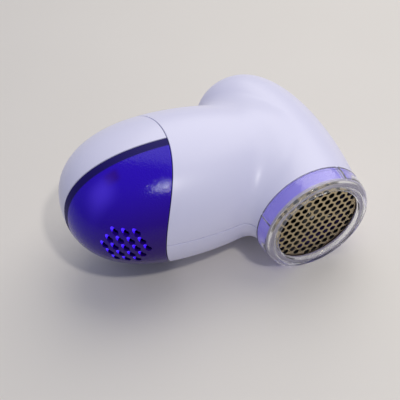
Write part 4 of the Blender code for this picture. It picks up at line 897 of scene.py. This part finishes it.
# ---- Battery bay floor and collector bulkhead: dark violet mouldings fixed in the casing, which part the cells and
# the motor from the lint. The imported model's solids keep their shapes and get the finish.
deep_violet = moulded("deep_violet", (0.022, 0.008, 0.13), (0.016, 0.006, 0.10),
                      gloss=0.35, spread=0.12, peel_height=0.00003, peel_scale=1500.0)


def dress(material, *names):
    """Give carried-over CAD nodes a finish."""
    for name in names:
        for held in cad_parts[name].material_slots:
            held.material = material


dress(deep_violet, "battery_bay_floor", "collector_bulkhead")


# ---- Cutter: three ground steel blades on a black moulded carrier, which a steel spring presses to the foil, the
# coupling that turns it, and the clamp ring that holds the foil in its frame.
black_plastic = moulded("black_plastic", (0.018, 0.018, 0.02), (0.012, 0.012, 0.014),
                        gloss=0.42, spread=0.16, peel_height=0.00003, peel_scale=1300.0)
dress(black_plastic, "blade_carrier", "drive_coupling", "foil_clamp")
dress(bright_steel, "blade_1", "blade_2", "blade_3")
coil = wound("cutter_spring_wire", (0, 0, 0), (0, 1, 0), low=11.5, high=16.1, turns=4, radius=4.4, wire=0.35,
             material=nickel)
stands_for(coil, "rotor", "nickel", "cutter_spring")


# ---- Fan and duct: a black moulded impeller, pressed on the motor shaft, draws lint through the foil. Its housing
# and a pale duct lead it into the collector.
dress(black_plastic, "fan_impeller", "fan_housing")
dress(pale_plastic, "lint_duct")


# ---- Motor: a drawn steel can with a black end cap, screwed to a moulded plate, with brass terminals and a ceramic
# capacitor soldered across them.
brass = moulded("brass", (0.72, 0.52, 0.22), (0.60, 0.42, 0.17),
                gloss=0.3, spread=0.16, peel_height=0.00001, peel_scale=1200.0, metal=1.0)
ceramic = moulded("ceramic", (0.68, 0.30, 0.09), (0.58, 0.24, 0.06),
                  gloss=0.5, spread=0.15, peel_height=0.00004, peel_scale=1600.0)
dress(pale_plastic, "motor_plate")
dress(bright_steel, "motor_can", "drive_shaft")
dress(black_plastic, "motor_end_cap")
dress(brass, "motor_terminal_1", "motor_terminal_2")
dress(ceramic, "motor_capacitor")
for i, x in enumerate((-8, 8)):
    made = screw("motor_screw_%d_steel" % (i + 1), (x, 0, 0), (0, -1, 0), head=-27.8, seat=-29.0, tip=-31.3,
                 radius=2.3, shank=1.1, material=bright_steel, thread=0.6)
    stands_for(made, "casing", "steel", "motor_screw_%d" % (i + 1))


# ---- Switches and wires: a black slide switch and a safety switch with a pale plunger, and stranded wires in soft
# red and black sheaths, soldered to the terminals.
red_sheath = moulded("red_sheath", (0.55, 0.02, 0.015), (0.45, 0.015, 0.01),
                     gloss=0.4, spread=0.14, peel_height=0.00003, peel_scale=1800.0)
black_sheath = moulded("black_sheath", (0.02, 0.02, 0.022), (0.014, 0.014, 0.016),
                       gloss=0.4, spread=0.14, peel_height=0.00003, peel_scale=1800.0)
dress(black_plastic, "switch_body", "switch_lever", "safety_switch")
dress(pale_plastic, "safety_plunger")
dress(red_sheath, "wire_supply", "wire_switched")
dress(black_sheath, "wire_return", "wire_motor")


bpy.context.view_layer.update()
